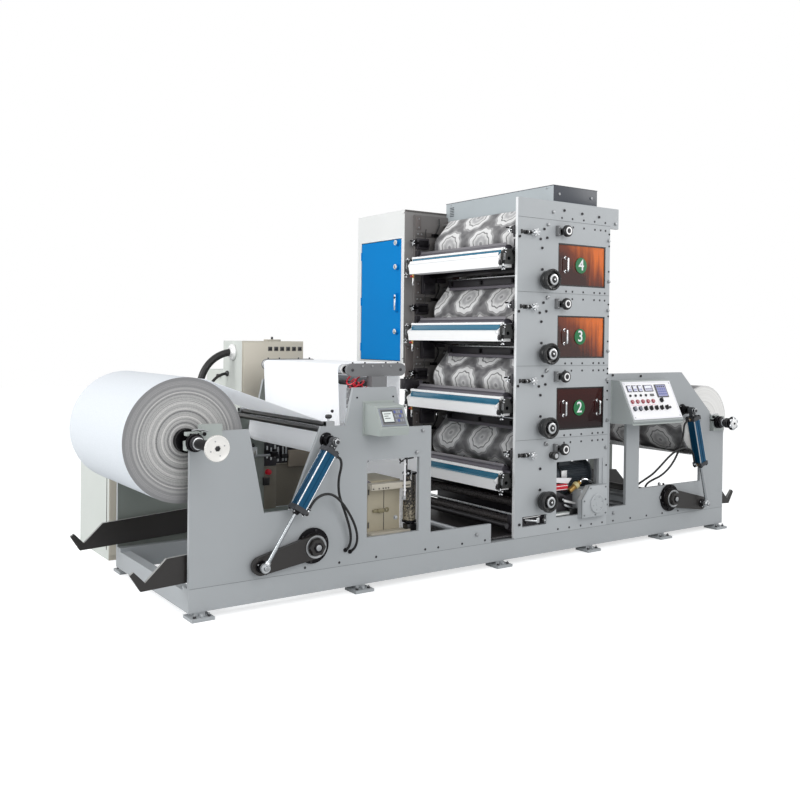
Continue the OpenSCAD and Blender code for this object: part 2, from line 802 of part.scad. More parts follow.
base_beams();
base_crossbeams();
levelling_feet();
drip_floor();
unwind_side_plates();
rewind_side_plates();
unit_side_plates(1);  // unit_1_side_plates
unit_side_plates(2);  // unit_2_side_plates
unit_side_plates(3);  // unit_3_side_plates
unit_side_plates(4);  // unit_4_side_plates
crown_plates();
top_duct();
tie_bars();
window_doors();
window_handles();
ink_trays();
tray_brackets();
fountain_rollers();
anilox_rollers();
plate_cylinders();
impression_cylinders();
guide_rollers();
plain_web();
printed_web();
web_guide();
bearing_saddles();
tension_box();
control_desk();
desk_panel();
drive_motor();
gearbox();
adjuster_knobs();
lift_brackets();
hanging_cabinet();
rear_cabinets();
pump_cabinet();
conduits();
unwind_hoses();
rewind_hoses();
paper_roll();
unwind_shaft();
printed_roll();
rewind_shaft();
unwind_lift_arms();
unwind_barrels();
unwind_rods();
rewind_lift_arms();
rewind_barrels();
rewind_rods();
handwheel(1);  // handwheel_1
handwheel(2);  // handwheel_2
handwheel(3);  // handwheel_3
handwheel(4);  // handwheel_4
cabinet_door();
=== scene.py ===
import math
import bpy
from functools import partial
from mathutils import Matrix, Vector


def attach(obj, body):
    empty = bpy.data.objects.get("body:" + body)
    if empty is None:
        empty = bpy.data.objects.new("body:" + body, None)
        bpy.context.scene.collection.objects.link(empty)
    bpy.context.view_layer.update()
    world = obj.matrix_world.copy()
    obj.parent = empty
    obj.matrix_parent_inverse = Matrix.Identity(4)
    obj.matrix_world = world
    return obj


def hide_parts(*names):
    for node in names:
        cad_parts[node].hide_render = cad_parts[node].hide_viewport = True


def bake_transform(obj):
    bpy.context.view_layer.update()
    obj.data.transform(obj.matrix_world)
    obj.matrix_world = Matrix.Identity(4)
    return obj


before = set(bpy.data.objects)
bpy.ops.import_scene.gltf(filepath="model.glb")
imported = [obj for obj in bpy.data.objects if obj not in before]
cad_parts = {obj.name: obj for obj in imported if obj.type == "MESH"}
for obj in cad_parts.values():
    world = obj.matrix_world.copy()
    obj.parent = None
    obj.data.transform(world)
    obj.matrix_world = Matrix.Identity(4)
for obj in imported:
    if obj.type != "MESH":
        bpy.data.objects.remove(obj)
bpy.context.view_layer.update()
bpy.ops.object.select_all(action="DESELECT")
print("frame loaded")

# Press sizes in millimetres, as in the part's source: x from the base's left end,
# y from the operator face, z from the floor
press = {"baseLength": 4225, "width": 1112, "plate": 22, "unitTop": 767, "unitPitch": 466, "crown": 2165, "top": 2285}
units = [1, 2, 3, 4]
toFront, toBack, toLeft, toRight, upward = (0, -1, 0), (0, 1, 0), (-1, 0, 0), (1, 0, 0), (0, 0, 1)


def unitTop(unit):
    return press["unitTop"] + (unit - 1) * press["unitPitch"]


def place(x, y, z):
    return Vector(((x - press["baseLength"] / 2) / 1000, (y - press["width"] / 2) / 1000, z / 1000))


# the camera stands in millimetres, turns in degrees
view = {"place": (-1725.5, -4250, 1400.5), "turn": -34.97, "tilt": -0.76, "roll": 0.64,
        "lens": 41.24, "shiftUp": -0.0625}


def addCamera():
    bpy.ops.object.camera_add(location=place(*view["place"]))
    camera = bpy.context.object
    turn = Matrix.Rotation(math.radians(view["turn"]), 3, "Z")
    tilt = Matrix.Rotation(math.radians(90 + view["tilt"]), 3, "X")
    roll = Matrix.Rotation(math.radians(view["roll"]), 3, "Z")
    camera.rotation_euler = (turn @ tilt @ roll).to_euler()
    camera.data.lens = view["lens"]
    camera.data.sensor_width = 36
    camera.data.shift_y = view["shiftUp"]
    camera.data.clip_end = 60
    bpy.context.scene.camera = camera


def hexColour(code):
    # sRGB hex to linear, with alpha
    values = [int(code[i:i + 2], 16) / 255 for i in (1, 3, 5)]
    return tuple(v / 12.92 if v <= 0.04045 else ((v + 0.055) / 1.055) ** 2.4 for v in values) + (1.0,)


def connect(node, links):
    # each input socket gets a link or a value; a node stands for its first output
    for key, value in links.items():
        if isinstance(value, bpy.types.Node):
            value = value.outputs[0]
        if isinstance(value, bpy.types.NodeSocket):
            node.id_data.links.new(value, node.inputs[key])
        else:
            node.inputs[key].default_value = value


def addNode(tree, kind, links=None, **settings):
    # settings are the node's own properties, links its input sockets
    node = tree.nodes.new("ShaderNode" + kind)
    for key, value in settings.items():
        setattr(node, key, value)
    connect(node, links or {})
    return node


lamps = {"left": {"place": (-6500, 900, 4200), "aim": (1500, 556, 900), "size": 4.5, "power": 370},
         "front": {"place": (500, -7500, 4200), "aim": (1900, 556, 900), "size": 5.0, "power": 215},
         "right": {"place": (9500, -3500, 4500), "aim": (2500, 556, 900), "size": 4.0, "power": 120}}


def addLamp(name, spec):
    start, aim = place(*spec["place"]), place(*spec["aim"])
    bpy.ops.object.light_add(type="AREA", location=start)
    lamp = bpy.context.object
    lamp.name = name + "Lamp"
    lamp.rotation_euler = (aim - start).to_track_quat("-Z", "Y").to_euler()
    lamp.data.size = spec["size"]
    lamp.data.energy = spec["power"]


stage = {"floor": 40, "ground": "#d9dbdc", "lift": 0.6, "sky": 0.62}


def addStage():
    bpy.ops.mesh.primitive_plane_add(size=stage["floor"], location=(0, 0, -0.0005))
    floor = bpy.context.object
    floor.name = "floor"
    material = bpy.data.materials.new("paleFloor")
    material.use_nodes = True
    material.node_tree.nodes.clear()
    add = partial(addNode, material.node_tree)
    matt = add("BsdfDiffuse", {"Color": hexColour(stage["ground"])})
    path = add("LightPath")
    lift = add("Math", {0: path.outputs["Is Camera Ray"], 1: stage["lift"]}, operation="MULTIPLY")
    glow = add("Emission", {"Strength": lift})
    both = add("AddShader", {0: matt, 1: glow})
    add("OutputMaterial", {"Surface": both})
    floor.data.materials.append(material)
    world = bpy.data.worlds.new("studio")
    bpy.context.scene.world = world
    world.use_nodes = True
    world.node_tree.nodes.clear()
    add = partial(addNode, world.node_tree)
    path = add("LightPath")
    seen = add("Math", {0: path.outputs["Is Camera Ray"], 1: path.outputs["Is Glossy Ray"]}, operation="MAXIMUM")
    seen = add("Math", {0: seen, 1: path.outputs["Is Transmission Ray"]}, operation="MAXIMUM")
    strength = add("Mix", {"Factor": seen, 2: stage["sky"], 3: 1.0}, data_type="FLOAT")
    sky = add("Background", {"Color": (1, 1, 1, 1), "Strength": strength})
    add("OutputWorld", {"Surface": sky})


addCamera()
for name, spec in lamps.items():
    addLamp(name, spec)
addStage()
bpy.context.scene.view_settings.view_transform = "Standard"
print("camera, lamps and floor placed")


def selectOnly(piece):
    bpy.ops.object.select_all(action="DESELECT")
    piece.select_set(True)
    bpy.context.view_layer.objects.active = piece


def linked(piece):
    # puts a new piece in the scene and selects it alone
    bpy.context.scene.collection.objects.link(piece)
    selectOnly(piece)
    return piece


def editWhole(*steps):
    # runs each step on the whole mesh in edit mode, then turns its faces outward
    bpy.ops.object.mode_set(mode="EDIT")
    for step, settings in steps:
        bpy.ops.mesh.select_all(action="SELECT")
        step(**settings)
    bpy.ops.mesh.select_all(action="SELECT")
    bpy.ops.mesh.normals_make_consistent(inside=False)
    bpy.ops.object.mode_set(mode="OBJECT")


def applyPlace(piece):
    selectOnly(piece)
    bpy.ops.object.transform_apply(location=True, rotation=True, scale=True)


def applyModifier(piece, kind, **settings):
    modifier = piece.modifiers.new(kind, kind)
    for key, value in settings.items():
        setattr(modifier, key, value)
    selectOnly(piece)
    bpy.ops.object.modifier_apply(modifier=modifier.name)


def softEdges(piece, width, segments=2):
    if width:
        applyModifier(piece, "BEVEL", width=width / 1000, segments=segments, limit_method="ANGLE")


def addBlock(low, high, edge=1.5, segments=2):
    a, b = place(*low), place(*high)
    bpy.ops.mesh.primitive_cube_add(size=1, location=(a + b) / 2)
    block = bpy.context.object
    block.scale = b - a
    applyPlace(block)
    softEdges(block, edge, segments)
    return block


def addRod(start, end, radius, sides=24, edge=0.0):
    a, b = place(*start), place(*end)
    bpy.ops.mesh.primitive_cone_add(vertices=sides, radius1=radius / 1000, radius2=radius / 1000,
                                    depth=(b - a).length, location=(a + b) / 2)
    rod = bpy.context.object
    rod.rotation_euler = (b - a).to_track_quat("Z", "Y").to_euler()
    applyPlace(rod)
    softEdges(rod, edge)
    return rod


def addTurned(profile, centre, steps=32, axis=toFront, ring=True):
    # profile holds (radius, height) pairs, turned about axis through centre; one that ends clear of
    # the axis is closed to a ring
    if ring and profile[-1][0]:
        profile = profile + profile[:1]
    mesh = bpy.data.meshes.new("turned")
    mesh.from_pydata([(r / 1000, 0, h / 1000) for r, h in profile], [(i, i + 1) for i in range(len(profile) - 1)], [])
    piece = linked(bpy.data.objects.new("turned", mesh))
    editWhole((bpy.ops.mesh.spin, {"steps": steps, "angle": 2 * math.pi, "center": (0, 0, 0), "axis": (0, 0, 1)}),
              (bpy.ops.mesh.remove_doubles, {"threshold": 0.00001}))
    piece.rotation_euler = Vector(axis).to_track_quat("Z", "Y").to_euler()
    piece.location = place(*centre)
    applyPlace(piece)
    return piece


def addPlateShape(outline, y0, y1, edge=0.0, axis="y"):
    # a flat outline of (x, z) corners, or (y, z) with axis "x", extruded between two depths
    mesh = bpy.data.meshes.new("shape")
    corners = [place(a, y0, b) if axis == "y" else place(y0, a, b) for a, b in outline]
    mesh.from_pydata(corners, [], [list(range(len(corners)))])
    piece = linked(bpy.data.objects.new("shape", mesh))
    step = (y1 - y0) / 1000
    step = (0, step, 0) if axis == "y" else (step, 0, 0)
    editWhole((bpy.ops.mesh.extrude_region_move, {"TRANSFORM_OT_translate": {"value": step}}))
    softEdges(piece, edge)
    return piece


def addTube(points, radius, sides=12, smooth=6):
    # a round tube along a smooth line through the points
    route = smoothRoute(points, smooth) if smooth else [place(*p) for p in points]
    curve = bpy.data.curves.new("tube", "CURVE")
    curve.dimensions = "3D"
    curve.bevel_depth = radius / 1000
    curve.bevel_resolution = max(1, sides // 4 - 1)
    curve.use_fill_caps = True
    spline = curve.splines.new("POLY")
    spline.points.add(len(route) - 1)
    for i, p in enumerate(route):
        spline.points[i].co = (*p, 1)
    linked(bpy.data.objects.new("tube", curve))
    bpy.ops.object.convert(target="MESH")
    return bpy.context.object


def smoothRoute(points, steps):
    # Catmull-Rom line through points in millimetres
    p = [place(*q) for q in points]
    p = [p[0] * 2 - p[1]] + p + [p[-1] * 2 - p[-2]]
    route = []
    for i in range(1, len(p) - 2):
        for s in range(steps):
            t = s / steps
            route.append(0.5 * (2 * p[i] + (p[i + 1] - p[i - 1]) * t
                                + (2 * p[i - 1] - 5 * p[i] + 4 * p[i + 1] - p[i + 2]) * t * t
                                + (3 * p[i] - p[i - 1] - 3 * p[i + 1] + p[i + 2]) * t ** 3))
    return route + [p[-2]]


def copied(piece, matrix):
    # a copy with its own mesh, put through the matrix
    copy = piece.copy()
    copy.data = piece.data.copy()
    copy.data.transform(matrix)
    bpy.context.scene.collection.objects.link(copy)
    return copy


def mirrored(piece):
    # a copy on the drive side; the middle plane of the press is y = 0
    copy = copied(piece, Matrix.Scale(-1, 4, (0, 1, 0)))
    copy.data.flip_normals()
    return copy


def joined(pieces):
    bpy.ops.object.select_all(action="DESELECT")
    for piece in pieces:
        piece.select_set(True)
    bpy.context.view_layer.objects.active = pieces[0]
    if len(pieces) > 1:
        bpy.ops.object.join()
    return bpy.context.object


def bothSides(piece):
    # the piece and its mirror image on the drive side, as one
    return joined([piece, mirrored(piece)])


def finish(piece, name, finishName, body="frame", smooth=35):
    piece.name = name
    piece.data.name = name
    if finishName:
        coloured(piece, finishName)
    selectOnly(piece)
    bpy.ops.object.shade_smooth_by_angle(angle=math.radians(smooth))
    if body:
        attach(piece, body)
    return piece


def coloured(piece, finishName):
    # gives a piece, or a part of one before it is joined, its finish
    piece.data.materials.clear()
    piece.data.materials.append(finishes[finishName])
    return piece


def made(rows):
    # each row is a finish, the function that makes the shape, and what that function is given
    return [coloured(make(*given), finishName) for finishName, make, *given in rows]


def around(count, start, radius, x, z):
    # places evenly round a circle, from start in degrees
    for i in range(count):
        turn = math.radians(360 / count * i + start)
        yield x + radius * math.cos(turn), z + radius * math.sin(turn)


# finishes by name
finishes = {}


def newFinish(name):
    # gives the function that adds this finish's nodes, its shader, and the place on the press
    material = bpy.data.materials.new(name)
    material.use_nodes = True
    finishes[name] = material
    add = partial(addNode, material.node_tree)
    return add, shaderOf(name), add("TexCoord").outputs["Object"]


def shaderOf(name):
    return finishes[name].node_tree.nodes["Principled BSDF"]


def setStops(ramp, stops):
    # a ramp's stops as (place, colour); it starts with two
    elements = ramp.color_ramp.elements
    for i, (where, colour) in enumerate(stops):
        stop = elements[i] if i < 2 else elements.new(where)
        stop.position = where
        stop.color = colour


def enamel(name, colour, shade, roughness=0.42, peel=0.012, gloss=0.0, inner=None, edges=False):
    # two-part machine enamel, sprayed: an even colour with a fine orange peel about 2 mm across;
    # inner is a second colour, painted as shade on faces that look towards the middle of the press,
    # and with edges it is also painted as shade on the edges of the far plates
    add, shader, spot = newFinish(name)
    cloud = add("TexNoise", {"Vector": spot, "Scale": 2.3, "Detail": 3.0})
    tint = add("Mix", {0: cloud, 6: hexColour(shade), 7: hexColour(colour)}, data_type="RGBA")
    peelNoise = add("TexNoise", {"Vector": spot, "Scale": 420.0, "Detail": 1.0})
    bump = add("Bump", {"Height": peelNoise, "Distance": 0.0002, "Strength": peel * 10})
    dull = add("MapRange", {"Value": cloud, "To Min": roughness - 0.05, "To Max": roughness + 0.07})
    # painted shade: the inner colour on faces towards the middle of the press
    if inner:
        way = add("TexCoord").outputs["Normal"]
        way = add("SeparateXYZ", {"Vector": way}).outputs[1]
        depth = add("SeparateXYZ", {"Vector": spot}).outputs[1]
        inwardShade = add("Math", {0: way, 1: depth}, operation="MULTIPLY")
        inwardShade = add("Math", {0: inwardShade, 1: -0.3}, operation="LESS_THAN")
        if edges:
            far = add("Math", {0: depth, 1: (press["width"] / 2 - press["plate"] - 1) / 1000},
                      operation="GREATER_THAN")
            side = add("Math", {0: way, 1: 0.5}, operation="LESS_THAN")
            side = add("Math", {0: far, 1: side}, operation="MULTIPLY")
            inwardShade = add("Math", {0: inwardShade, 1: side}, operation="MAXIMUM")
        tint = add("Mix", {0: inwardShade, 6: tint.outputs[2], 7: hexColour(inner)}, data_type="RGBA")
    connect(shader, {"Base Color": tint.outputs[2], "Roughness": dull, "Normal": bump, "Coat Weight": gloss,
                     "Coat Roughness": 0.12})


def turnedSteel(name, colour, roughness=0.28, stretch=(1, 60, 1), metallic=1.0):
    # ground or turned steel: fine marks that run round the bar, so they vary quickly along Y
    add, shader, spot = newFinish(name)
    line = add("Mapping", {"Vector": spot, "Scale": stretch})
    mark = add("TexNoise", {"Vector": line, "Scale": 9.0, "Detail": 4.0})
    tint = add("MapRange", {"Value": mark, "To Min": roughness - 0.08, "To Max": roughness + 0.12})
    bump = add("Bump", {"Height": mark, "Distance": 0.0001, "Strength": 0.2})
    connect(shader, {"Roughness": tint, "Normal": bump, "Base Color": hexColour(colour), "Metallic": metallic})


def plastic(name, colour, roughness=0.35, grain=900.0, bumpHeight=0.00005, coat=0.0):
    # moulded plastic or rubber: even colour, faint mould grain
    add, shader, spot = newFinish(name)
    grainNoise = add("TexNoise", {"Vector": spot, "Scale": grain, "Detail": 2.0})
    bump = add("Bump", {"Height": grainNoise, "Distance": bumpHeight, "Strength": 0.5})
    wear = add("TexNoise", {"Vector": spot, "Scale": 25.0, "Detail": 3.0})
    dull = add("MapRange", {"Value": wear, "To Min": roughness - 0.08, "To Max": roughness + 0.08})
    connect(shader, {"Roughness": dull, "Normal": bump, "Base Color": hexColour(colour), "Coat Weight": coat,
                     "IOR": 1.5})


def paperFinish(name, colour, shade, sheer=0.0):
    # uncoated cup paper: matt, with a faint cloudy fibre; a single sheet lets some light through
    add, shader, spot = newFinish(name)
    fibre = add("TexNoise", {"Vector": spot, "Scale": 160.0, "Detail": 4.0})
    tint = add("Mix", {0: fibre, 6: hexColour(shade), 7: hexColour(colour)}, data_type="RGBA")
    bump = add("Bump", {"Height": fibre, "Distance": 0.0001, "Strength": 0.2})
    connect(shader, {"Base Color": tint.outputs[2], "Normal": bump, "Roughness": 0.7})
    if sheer:
        through = add("BsdfTranslucent", {"Color": tint.outputs[2]})
        both = add("MixShader", {0: sheer, 1: shader, 2: through})
        connect(shader.id_data.nodes["Material Output"], {"Surface": both})
    return add, shader, spot, tint


def rollPaper(name, axisX, axisZ, radius, outer, ends):
    # a wound roll: its side is smooth paper, its ends show the edges of the turns as rings
    add, shader, spot, tint = paperFinish(name, outer, "#dfe4ea")
    parts = add("SeparateXYZ", {"Vector": spot})
    centre = place(axisX, 0, axisZ)
    dx = add("Math", {0: parts, 1: centre.x}, operation="SUBTRACT")
    dz = add("Math", {0: parts.outputs[2], 1: centre.z}, operation="SUBTRACT")
    flatSpot = add("CombineXYZ", {"X": dx, "Y": dz})
    reach = add("VectorMath", {0: flatSpot}, operation="LENGTH")
    wobble = add("TexNoise", {"Vector": flatSpot, "Scale": 3.0, "Detail": 1.0})
    wobbled = add("Math", {0: wobble, 1: 0.012, 2: reach.outputs["Value"]}, operation="MULTIPLY_ADD")
    line = add("CombineXYZ", {"X": wobbled})
    # turns of paper in bands of about 2 and 12 mm: the single sheets are too fine to see
    fine = add("TexNoise", {"Vector": line, "Scale": 420.0, "Detail": 3.0})
    bands = add("TexNoise", {"Vector": line, "Scale": 70.0, "Detail": 3.0})
    grain = add("TexNoise", {"Vector": spot, "Scale": 150.0, "Detail": 5.0})
    mix1 = add("Math", {0: fine, 1: 0.45, 2: 0.0}, operation="MULTIPLY_ADD")
    mix2 = add("Math", {0: bands, 1: 0.75, 2: mix1}, operation="MULTIPLY_ADD")
    mix3 = add("Math", {0: grain, 1: 0.14, 2: mix2}, operation="MULTIPLY_ADD")
    ramp = add("ValToRGB", {"Fac": mix3})
    setStops(ramp, [(where, hexColour(code)) for where, code in zip((0.5, 0.64, 0.84), ends)])
    # the outer turns are wound softer and look greyer; two dark turns part them from the rest
    band = add("Math", {0: wobbled, 1: radius / 1000}, operation="DIVIDE")
    zone = add("ValToRGB", {"Fac": band})
    steps = [(0.0, 0.0), (0.735, 0.0), (0.745, 0.8), (0.755, 0.05), (0.79, 0.1), (0.80, 0.85), (0.815, ends[3] * 0.8),
             (0.96, ends[3]), (0.985, 0.95)]
    setStops(zone, [(where, (value, value, value, 1)) for where, value in steps])
    shaded = add("Mix", {0: zone, 6: ramp, 7: hexColour(ends[4])}, data_type="RGBA")
    facing = add("TexCoord").outputs["Normal"]
    facingY = add("SeparateXYZ", {"Vector": facing}).outputs[1]
    isEnd = add("Math", {0: facingY}, operation="ABSOLUTE")
    isEnd = add("Math", {0: isEnd, 1: 0.5}, operation="GREATER_THAN")
    colour = add("Mix", {0: isEnd, 6: tint.outputs[2], 7: shaded.outputs[2]}, data_type="RGBA")
    connect(shader, {"Base Color": colour.outputs[2]})


def printedPaper(name):
    # flexo print on paper: scalloped rosettes in greys, drawn on the web's own width and length
    add, shader, spot, tint = paperFinish(name, "#f5f5f4", "#eaeaea", 0.15)
    uv = add("UVMap", uv_map="web")
    wave = add("TexNoise", {"Vector": uv, "Scale": 9.0, "Detail": 6.0})
    parts = add("SeparateXYZ", {"Vector": uv})
    # rosettes about 290 mm across stand 340 mm apart, each row half a step beside the last
    reaches = []
    for shift in (0.0, 0.5):
        sides = []
        for value, step in ((parts, 0.34), (parts.outputs[1], 0.50)):
            cell = add("Math", {0: value, 1: 1 / step, 2: shift + 0.02}, operation="MULTIPLY_ADD")
            cell = add("Math", {0: cell}, operation="FRACT")
            cell = add("Math", {0: cell, 1: 0.5}, operation="SUBTRACT")
            sides.append(add("Math", {0: cell, 1: step}, operation="MULTIPLY"))
        flat = add("CombineXYZ", {"X": sides[0], "Y": sides[1]})
        far = add("VectorMath", {0: flat}, operation="LENGTH").outputs["Value"]
        turn = add("Math", {0: sides[1], 1: sides[0]}, operation="ARCTAN2")
        turn = add("Math", {0: turn, 1: 10.0}, operation="MULTIPLY")
        petals = add("Math", {0: turn}, operation="COSINE")
        scallop = add("Math", {0: petals, 1: 0.045, 2: 1.0}, operation="MULTIPLY_ADD")
        reaches.append(add("Math", {0: far, 1: scallop}, operation="MULTIPLY"))
    reach = add("Math", {0: reaches[0], 1: reaches[1]}, operation="MINIMUM")
    reach = add("Math", {0: wave, 1: 0.024, 2: reach}, operation="MULTIPLY_ADD")
    reach = add("Math", {0: reach, 1: 0.2}, operation="DIVIDE")
    ramp = add("ValToRGB", {"Fac": reach})
    stops = [(0.0, "#77767a"), (0.12, "#a6a5a8"), (0.15, "#ececec"), (0.20, "#cfcfd0"), (0.29, "#b4b4b6"),
             (0.36, "#dadada"), (0.43, "#f7f7f7"), (0.465, "#565557"), (0.485, "#565557"), (0.50, "#f7f7f7"),
             (0.64, "#fafafa"), (0.66, "#8a898b"), (0.70, "#bcbcbd"), (0.75, "#706f72"), (0.95, "#525154")]
    setStops(ramp, [(where, hexColour(code)) for where, code in stops])
    # the ground between the rosettes is washed with a cloudy tone, about 40 mm across
    cloud = add("TexNoise", {"Vector": uv, "Scale": 24.0, "Detail": 3.0})
    cloud = add("MapRange", {"Value": cloud, "From Min": 0.35, "From Max": 0.65, "To Min": 0.0, "To Max": 0.2})
    ink = add("Mix", {0: cloud, 6: ramp, 7: tint.outputs[2]}, data_type="RGBA")
    connect(shader, {"Base Color": ink.outputs[2], "Roughness": 0.42})


def amberSheet(name):
    # smoked acrylic in amber, 8 mm: glossy and deep brown, with painted light from behind that makes it brighter
    # orange towards its upper right corner
    add, shader, spot = newFinish(name)
    parts = add("SeparateXYZ", {"Vector": spot})
    corner = place(2480, 0, unitTop(2) - 418)
    right = add("MapRange", {"Value": parts, "From Min": corner.x, "From Max": corner.x + 0.438})
    up = add("Math", {0: parts.outputs[2], 1: corner.z}, operation="SUBTRACT")
    up = add("Math", {0: up, 1: press["unitPitch"] / 1000}, operation="MODULO")
    up = add("MapRange", {"Value": up, "From Max": 0.275})
    both = add("Math", {0: right, 1: up}, operation="ADD")
    cloud = add("TexNoise", {"Vector": spot, "Scale": 7.0, "Detail": 2.0})
    both = add("Math", {0: cloud, 1: 0.5, 2: both}, operation="MULTIPLY_ADD")
    # upright streaks of light from behind, strongest on the right
    tall = add("Mapping", {"Vector": spot, "Scale": (34, 34, 3)})
    streak = add("TexNoise", {"Vector": tall, "Scale": 1.0, "Detail": 2.0})
    streak = add("MapRange", {"Value": streak, "From Min": 0.4, "From Max": 0.7, "To Min": -0.12, "To Max": 0.5})
    both = add("Math", {0: streak, 1: right, 2: both}, operation="MULTIPLY_ADD")
    ramp = add("ValToRGB", {"Fac": add("Math", {0: both, 1: 2.2}, operation="DIVIDE")})
    setStops(ramp, [(0.42, hexColour("#43201a")), (0.62, hexColour("#8a3c1c")), (0.92, hexColour("#f07a2c"))])
    high = add("Math", {0: parts.outputs[2], 1: unitTop(2) / 1000}, operation="GREATER_THAN")
    dark = add("Mix", {0: up, 6: hexColour("#221114"), 7: hexColour("#4a1c18")}, data_type="RGBA")
    colour = add("Mix", {0: high, 6: dark.outputs[2], 7: ramp}, data_type="RGBA")
    connect(shader, {"Base Color": colour.outputs[2], "Transmission Weight": 0.3, "IOR": 1.49})
    smear = add("TexNoise", {"Vector": spot, "Scale": 6.0, "Detail": 4.0})
    dull = add("MapRange", {"Value": smear, "To Min": 0.02, "To Max": 0.09})
    connect(shader, {"Roughness": dull})


def cylinderFinish(name, clevis, pin):
    # anodised blue tube between two dark cast caps; the place along the barrel picks which
    add, shader, spot = newFinish(name)
    start, end = place(clevis[0], 0, clevis[1]), place(pin[0], 0, pin[1])
    line = (end - start).normalized()
    away = add("VectorMath", {0: spot, 1: (start.x, 0, start.z)}, operation="SUBTRACT")
    along = add("VectorMath", {0: away, 1: (line.x, 0, line.z)}, operation="DOT_PRODUCT").outputs["Value"]
    above = add("Math", {0: along, 1: 0.0715}, operation="GREATER_THAN")
    below = add("Math", {0: along, 1: 0.3845}, operation="LESS_THAN")
    tube = add("Math", {0: above, 1: below}, operation="MULTIPLY")
    cloud = add("TexNoise", {"Vector": spot, "Scale": 30.0, "Detail": 3.0})
    cast = add("Mix", {0: cloud, 6: hexColour("#26272a"), 7: hexColour("#3f4145")}, data_type="RGBA")
    blue = add("Mix", {0: cloud, 6: hexColour("#0a4463"), 7: hexColour("#12587d")}, data_type="RGBA")
    colour = add("Mix", {0: tube, 6: cast.outputs[2], 7: blue.outputs[2]}, data_type="RGBA")
    connect(shader, {"Base Color": colour.outputs[2]})
    metal = add("Math", {0: tube, 1: 0.55}, operation="MULTIPLY")
    connect(shader, {"Metallic": metal})
    dull = add("MapRange", {"Value": tube, "To Min": 0.5, "To Max": 0.3})
    connect(shader, {"Roughness": dull})


# the inner colours are painted shade on the faces towards the middle of the press, and on the tower also on the far
# plates' edges
enamel("plateEnamel", "#a8acaf", "#a1a5a8", inner="#868c87")
enamel("towerEnamel", "#b3b7ba", "#acb0b3", inner="#6f6c6b", edges=True)
enamel("baseEnamel", "#acb0b3", "#a5a9ac")
enamel("ductEnamel", "#b4bcc0", "#aab2b6")
enamel("ductEndEnamel", "#43474f", "#3b3f46", 0.35)
enamel("boxEnamel", "#aab1ae", "#a2a9a6")
enamel("deskEnamel", "#a0a6a6", "#979d9d")
enamel("whiteEnamel", "#eef0f1", "#e4e6e8", 0.3, gloss=0.2)
enamel("trayEnamel", "#fafbfb", "#f1f2f3", 0.3, gloss=0.2)
# a faint glow on the trays: painted light that brightens their white fronts
connect(shaderOf("trayEnamel"), {"Emission Color": hexColour("#ffffff"), "Emission Strength": 0.12})
enamel("ivoryEnamel", "#e9eae9", "#e0e2e1", 0.5, inner="#8a8887")
enamel("cabinetEnamel", "#d3d7d3", "#c8cdc8", 0.5, inner="#d2ccbe")
enamel("sandEnamel", "#b3ab97", "#a59d89", 0.5)
enamel("blueEnamel", "#0083cc", "#007bc4", 0.6)
connect(shaderOf("blueEnamel"), {"Specular IOR Level": 0.1})
enamel("blackEnamel", "#1a1b1a", "#141514", 0.4)
enamel("crankEnamel", "#2e2b2a", "#262423", 0.34)
enamel("motorEnamel", "#3d444b", "#333a41", 0.45)
enamel("guideEnamel", "#77787a", "#6d6e70", 0.45)
enamel("dripEnamel", "#2b2829", "#1d1b1c", 0.42)
turnedSteel("brightSteel", "#d4d6d8", 0.26)
turnedSteel("zincSteel", "#a9abad", 0.4, (8, 8, 8))
turnedSteel("darkSteel", "#4a494b", 0.38, (8, 30, 8))
turnedSteel("blackSteel", "#242325", 0.35, (8, 30, 8))
turnedSteel("aniloxSteel", "#65626a", 0.36, metallic=0.4)
turnedSteel("chromeSteel", "#e6e8ea", 0.1, (4, 4, 4))
turnedSteel("rodSteel", "#a9adb0", 0.22, (4, 4, 4))
turnedSteel("whiteSteel", "#efefef", 0.5, (6, 6, 6), 0.6)
turnedSteel("brass", "#b8955a", 0.35, (6, 6, 6))
plastic("blackPlastic", "#161617", 0.32, coat=0.2)
plastic("hoseRubber", "#0d0d0e", 0.5)
plastic("rollerRubber", "#216f8b", 0.3)
plastic("darkRubber", "#1f1e20", 0.4)
plastic("whitePlastic", "#f1f1f4", 0.35)
plastic("redPlastic", "#c8102a", 0.3)
plastic("greenPlastic", "#12703f", 0.35)
plastic("greyPlastic", "#8c919c", 0.4)
plastic("bluePlastic", "#5560a0", 0.4)
paperFinish("paper", "#fafbfd", "#f3f5f7", 0.35)
# a faint glow on the paper: painted light that brightens the web where it lies in shade
connect(shaderOf("paper"), {"Emission Color": (1, 1, 1, 1), "Emission Strength": 0.15})
rollPaper("paperRoll", 14, 878, 315, "#ccd1d6", ("#4e4e50", "#a2a2a2", "#eceae8", 0.7, "#858587"))
rollPaper("printedRoll", 4130, 800, 262, "#eceae6", ("#dcdbd9", "#edecea", "#fbfaf8", 0.1, "#e2e1df"))
printedPaper("printedPaper")
amberSheet("amberSheet")


def pinPlace(pivot, angle, reach=324):
    return (pivot[0] + reach * math.cos(math.radians(angle)), pivot[1] + reach * math.sin(math.radians(angle)))


lift = {"unwindPivot": (690, 290), "rewindPivot": (3605, 280), "unwindClevis": (770, 848),
        "rewindClevis": (3738, 905), "barrelY": -86}
lift["unwindPin"] = pinPlace(lift["unwindPivot"], 191)
lift["rewindPin"] = pinPlace(lift["rewindPivot"], -11)
cylinderFinish("unwindCylinder", lift["unwindClevis"], lift["unwindPin"])
cylinderFinish("rewindCylinder", lift["rewindClevis"], lift["rewindPin"])
print("finishes made")

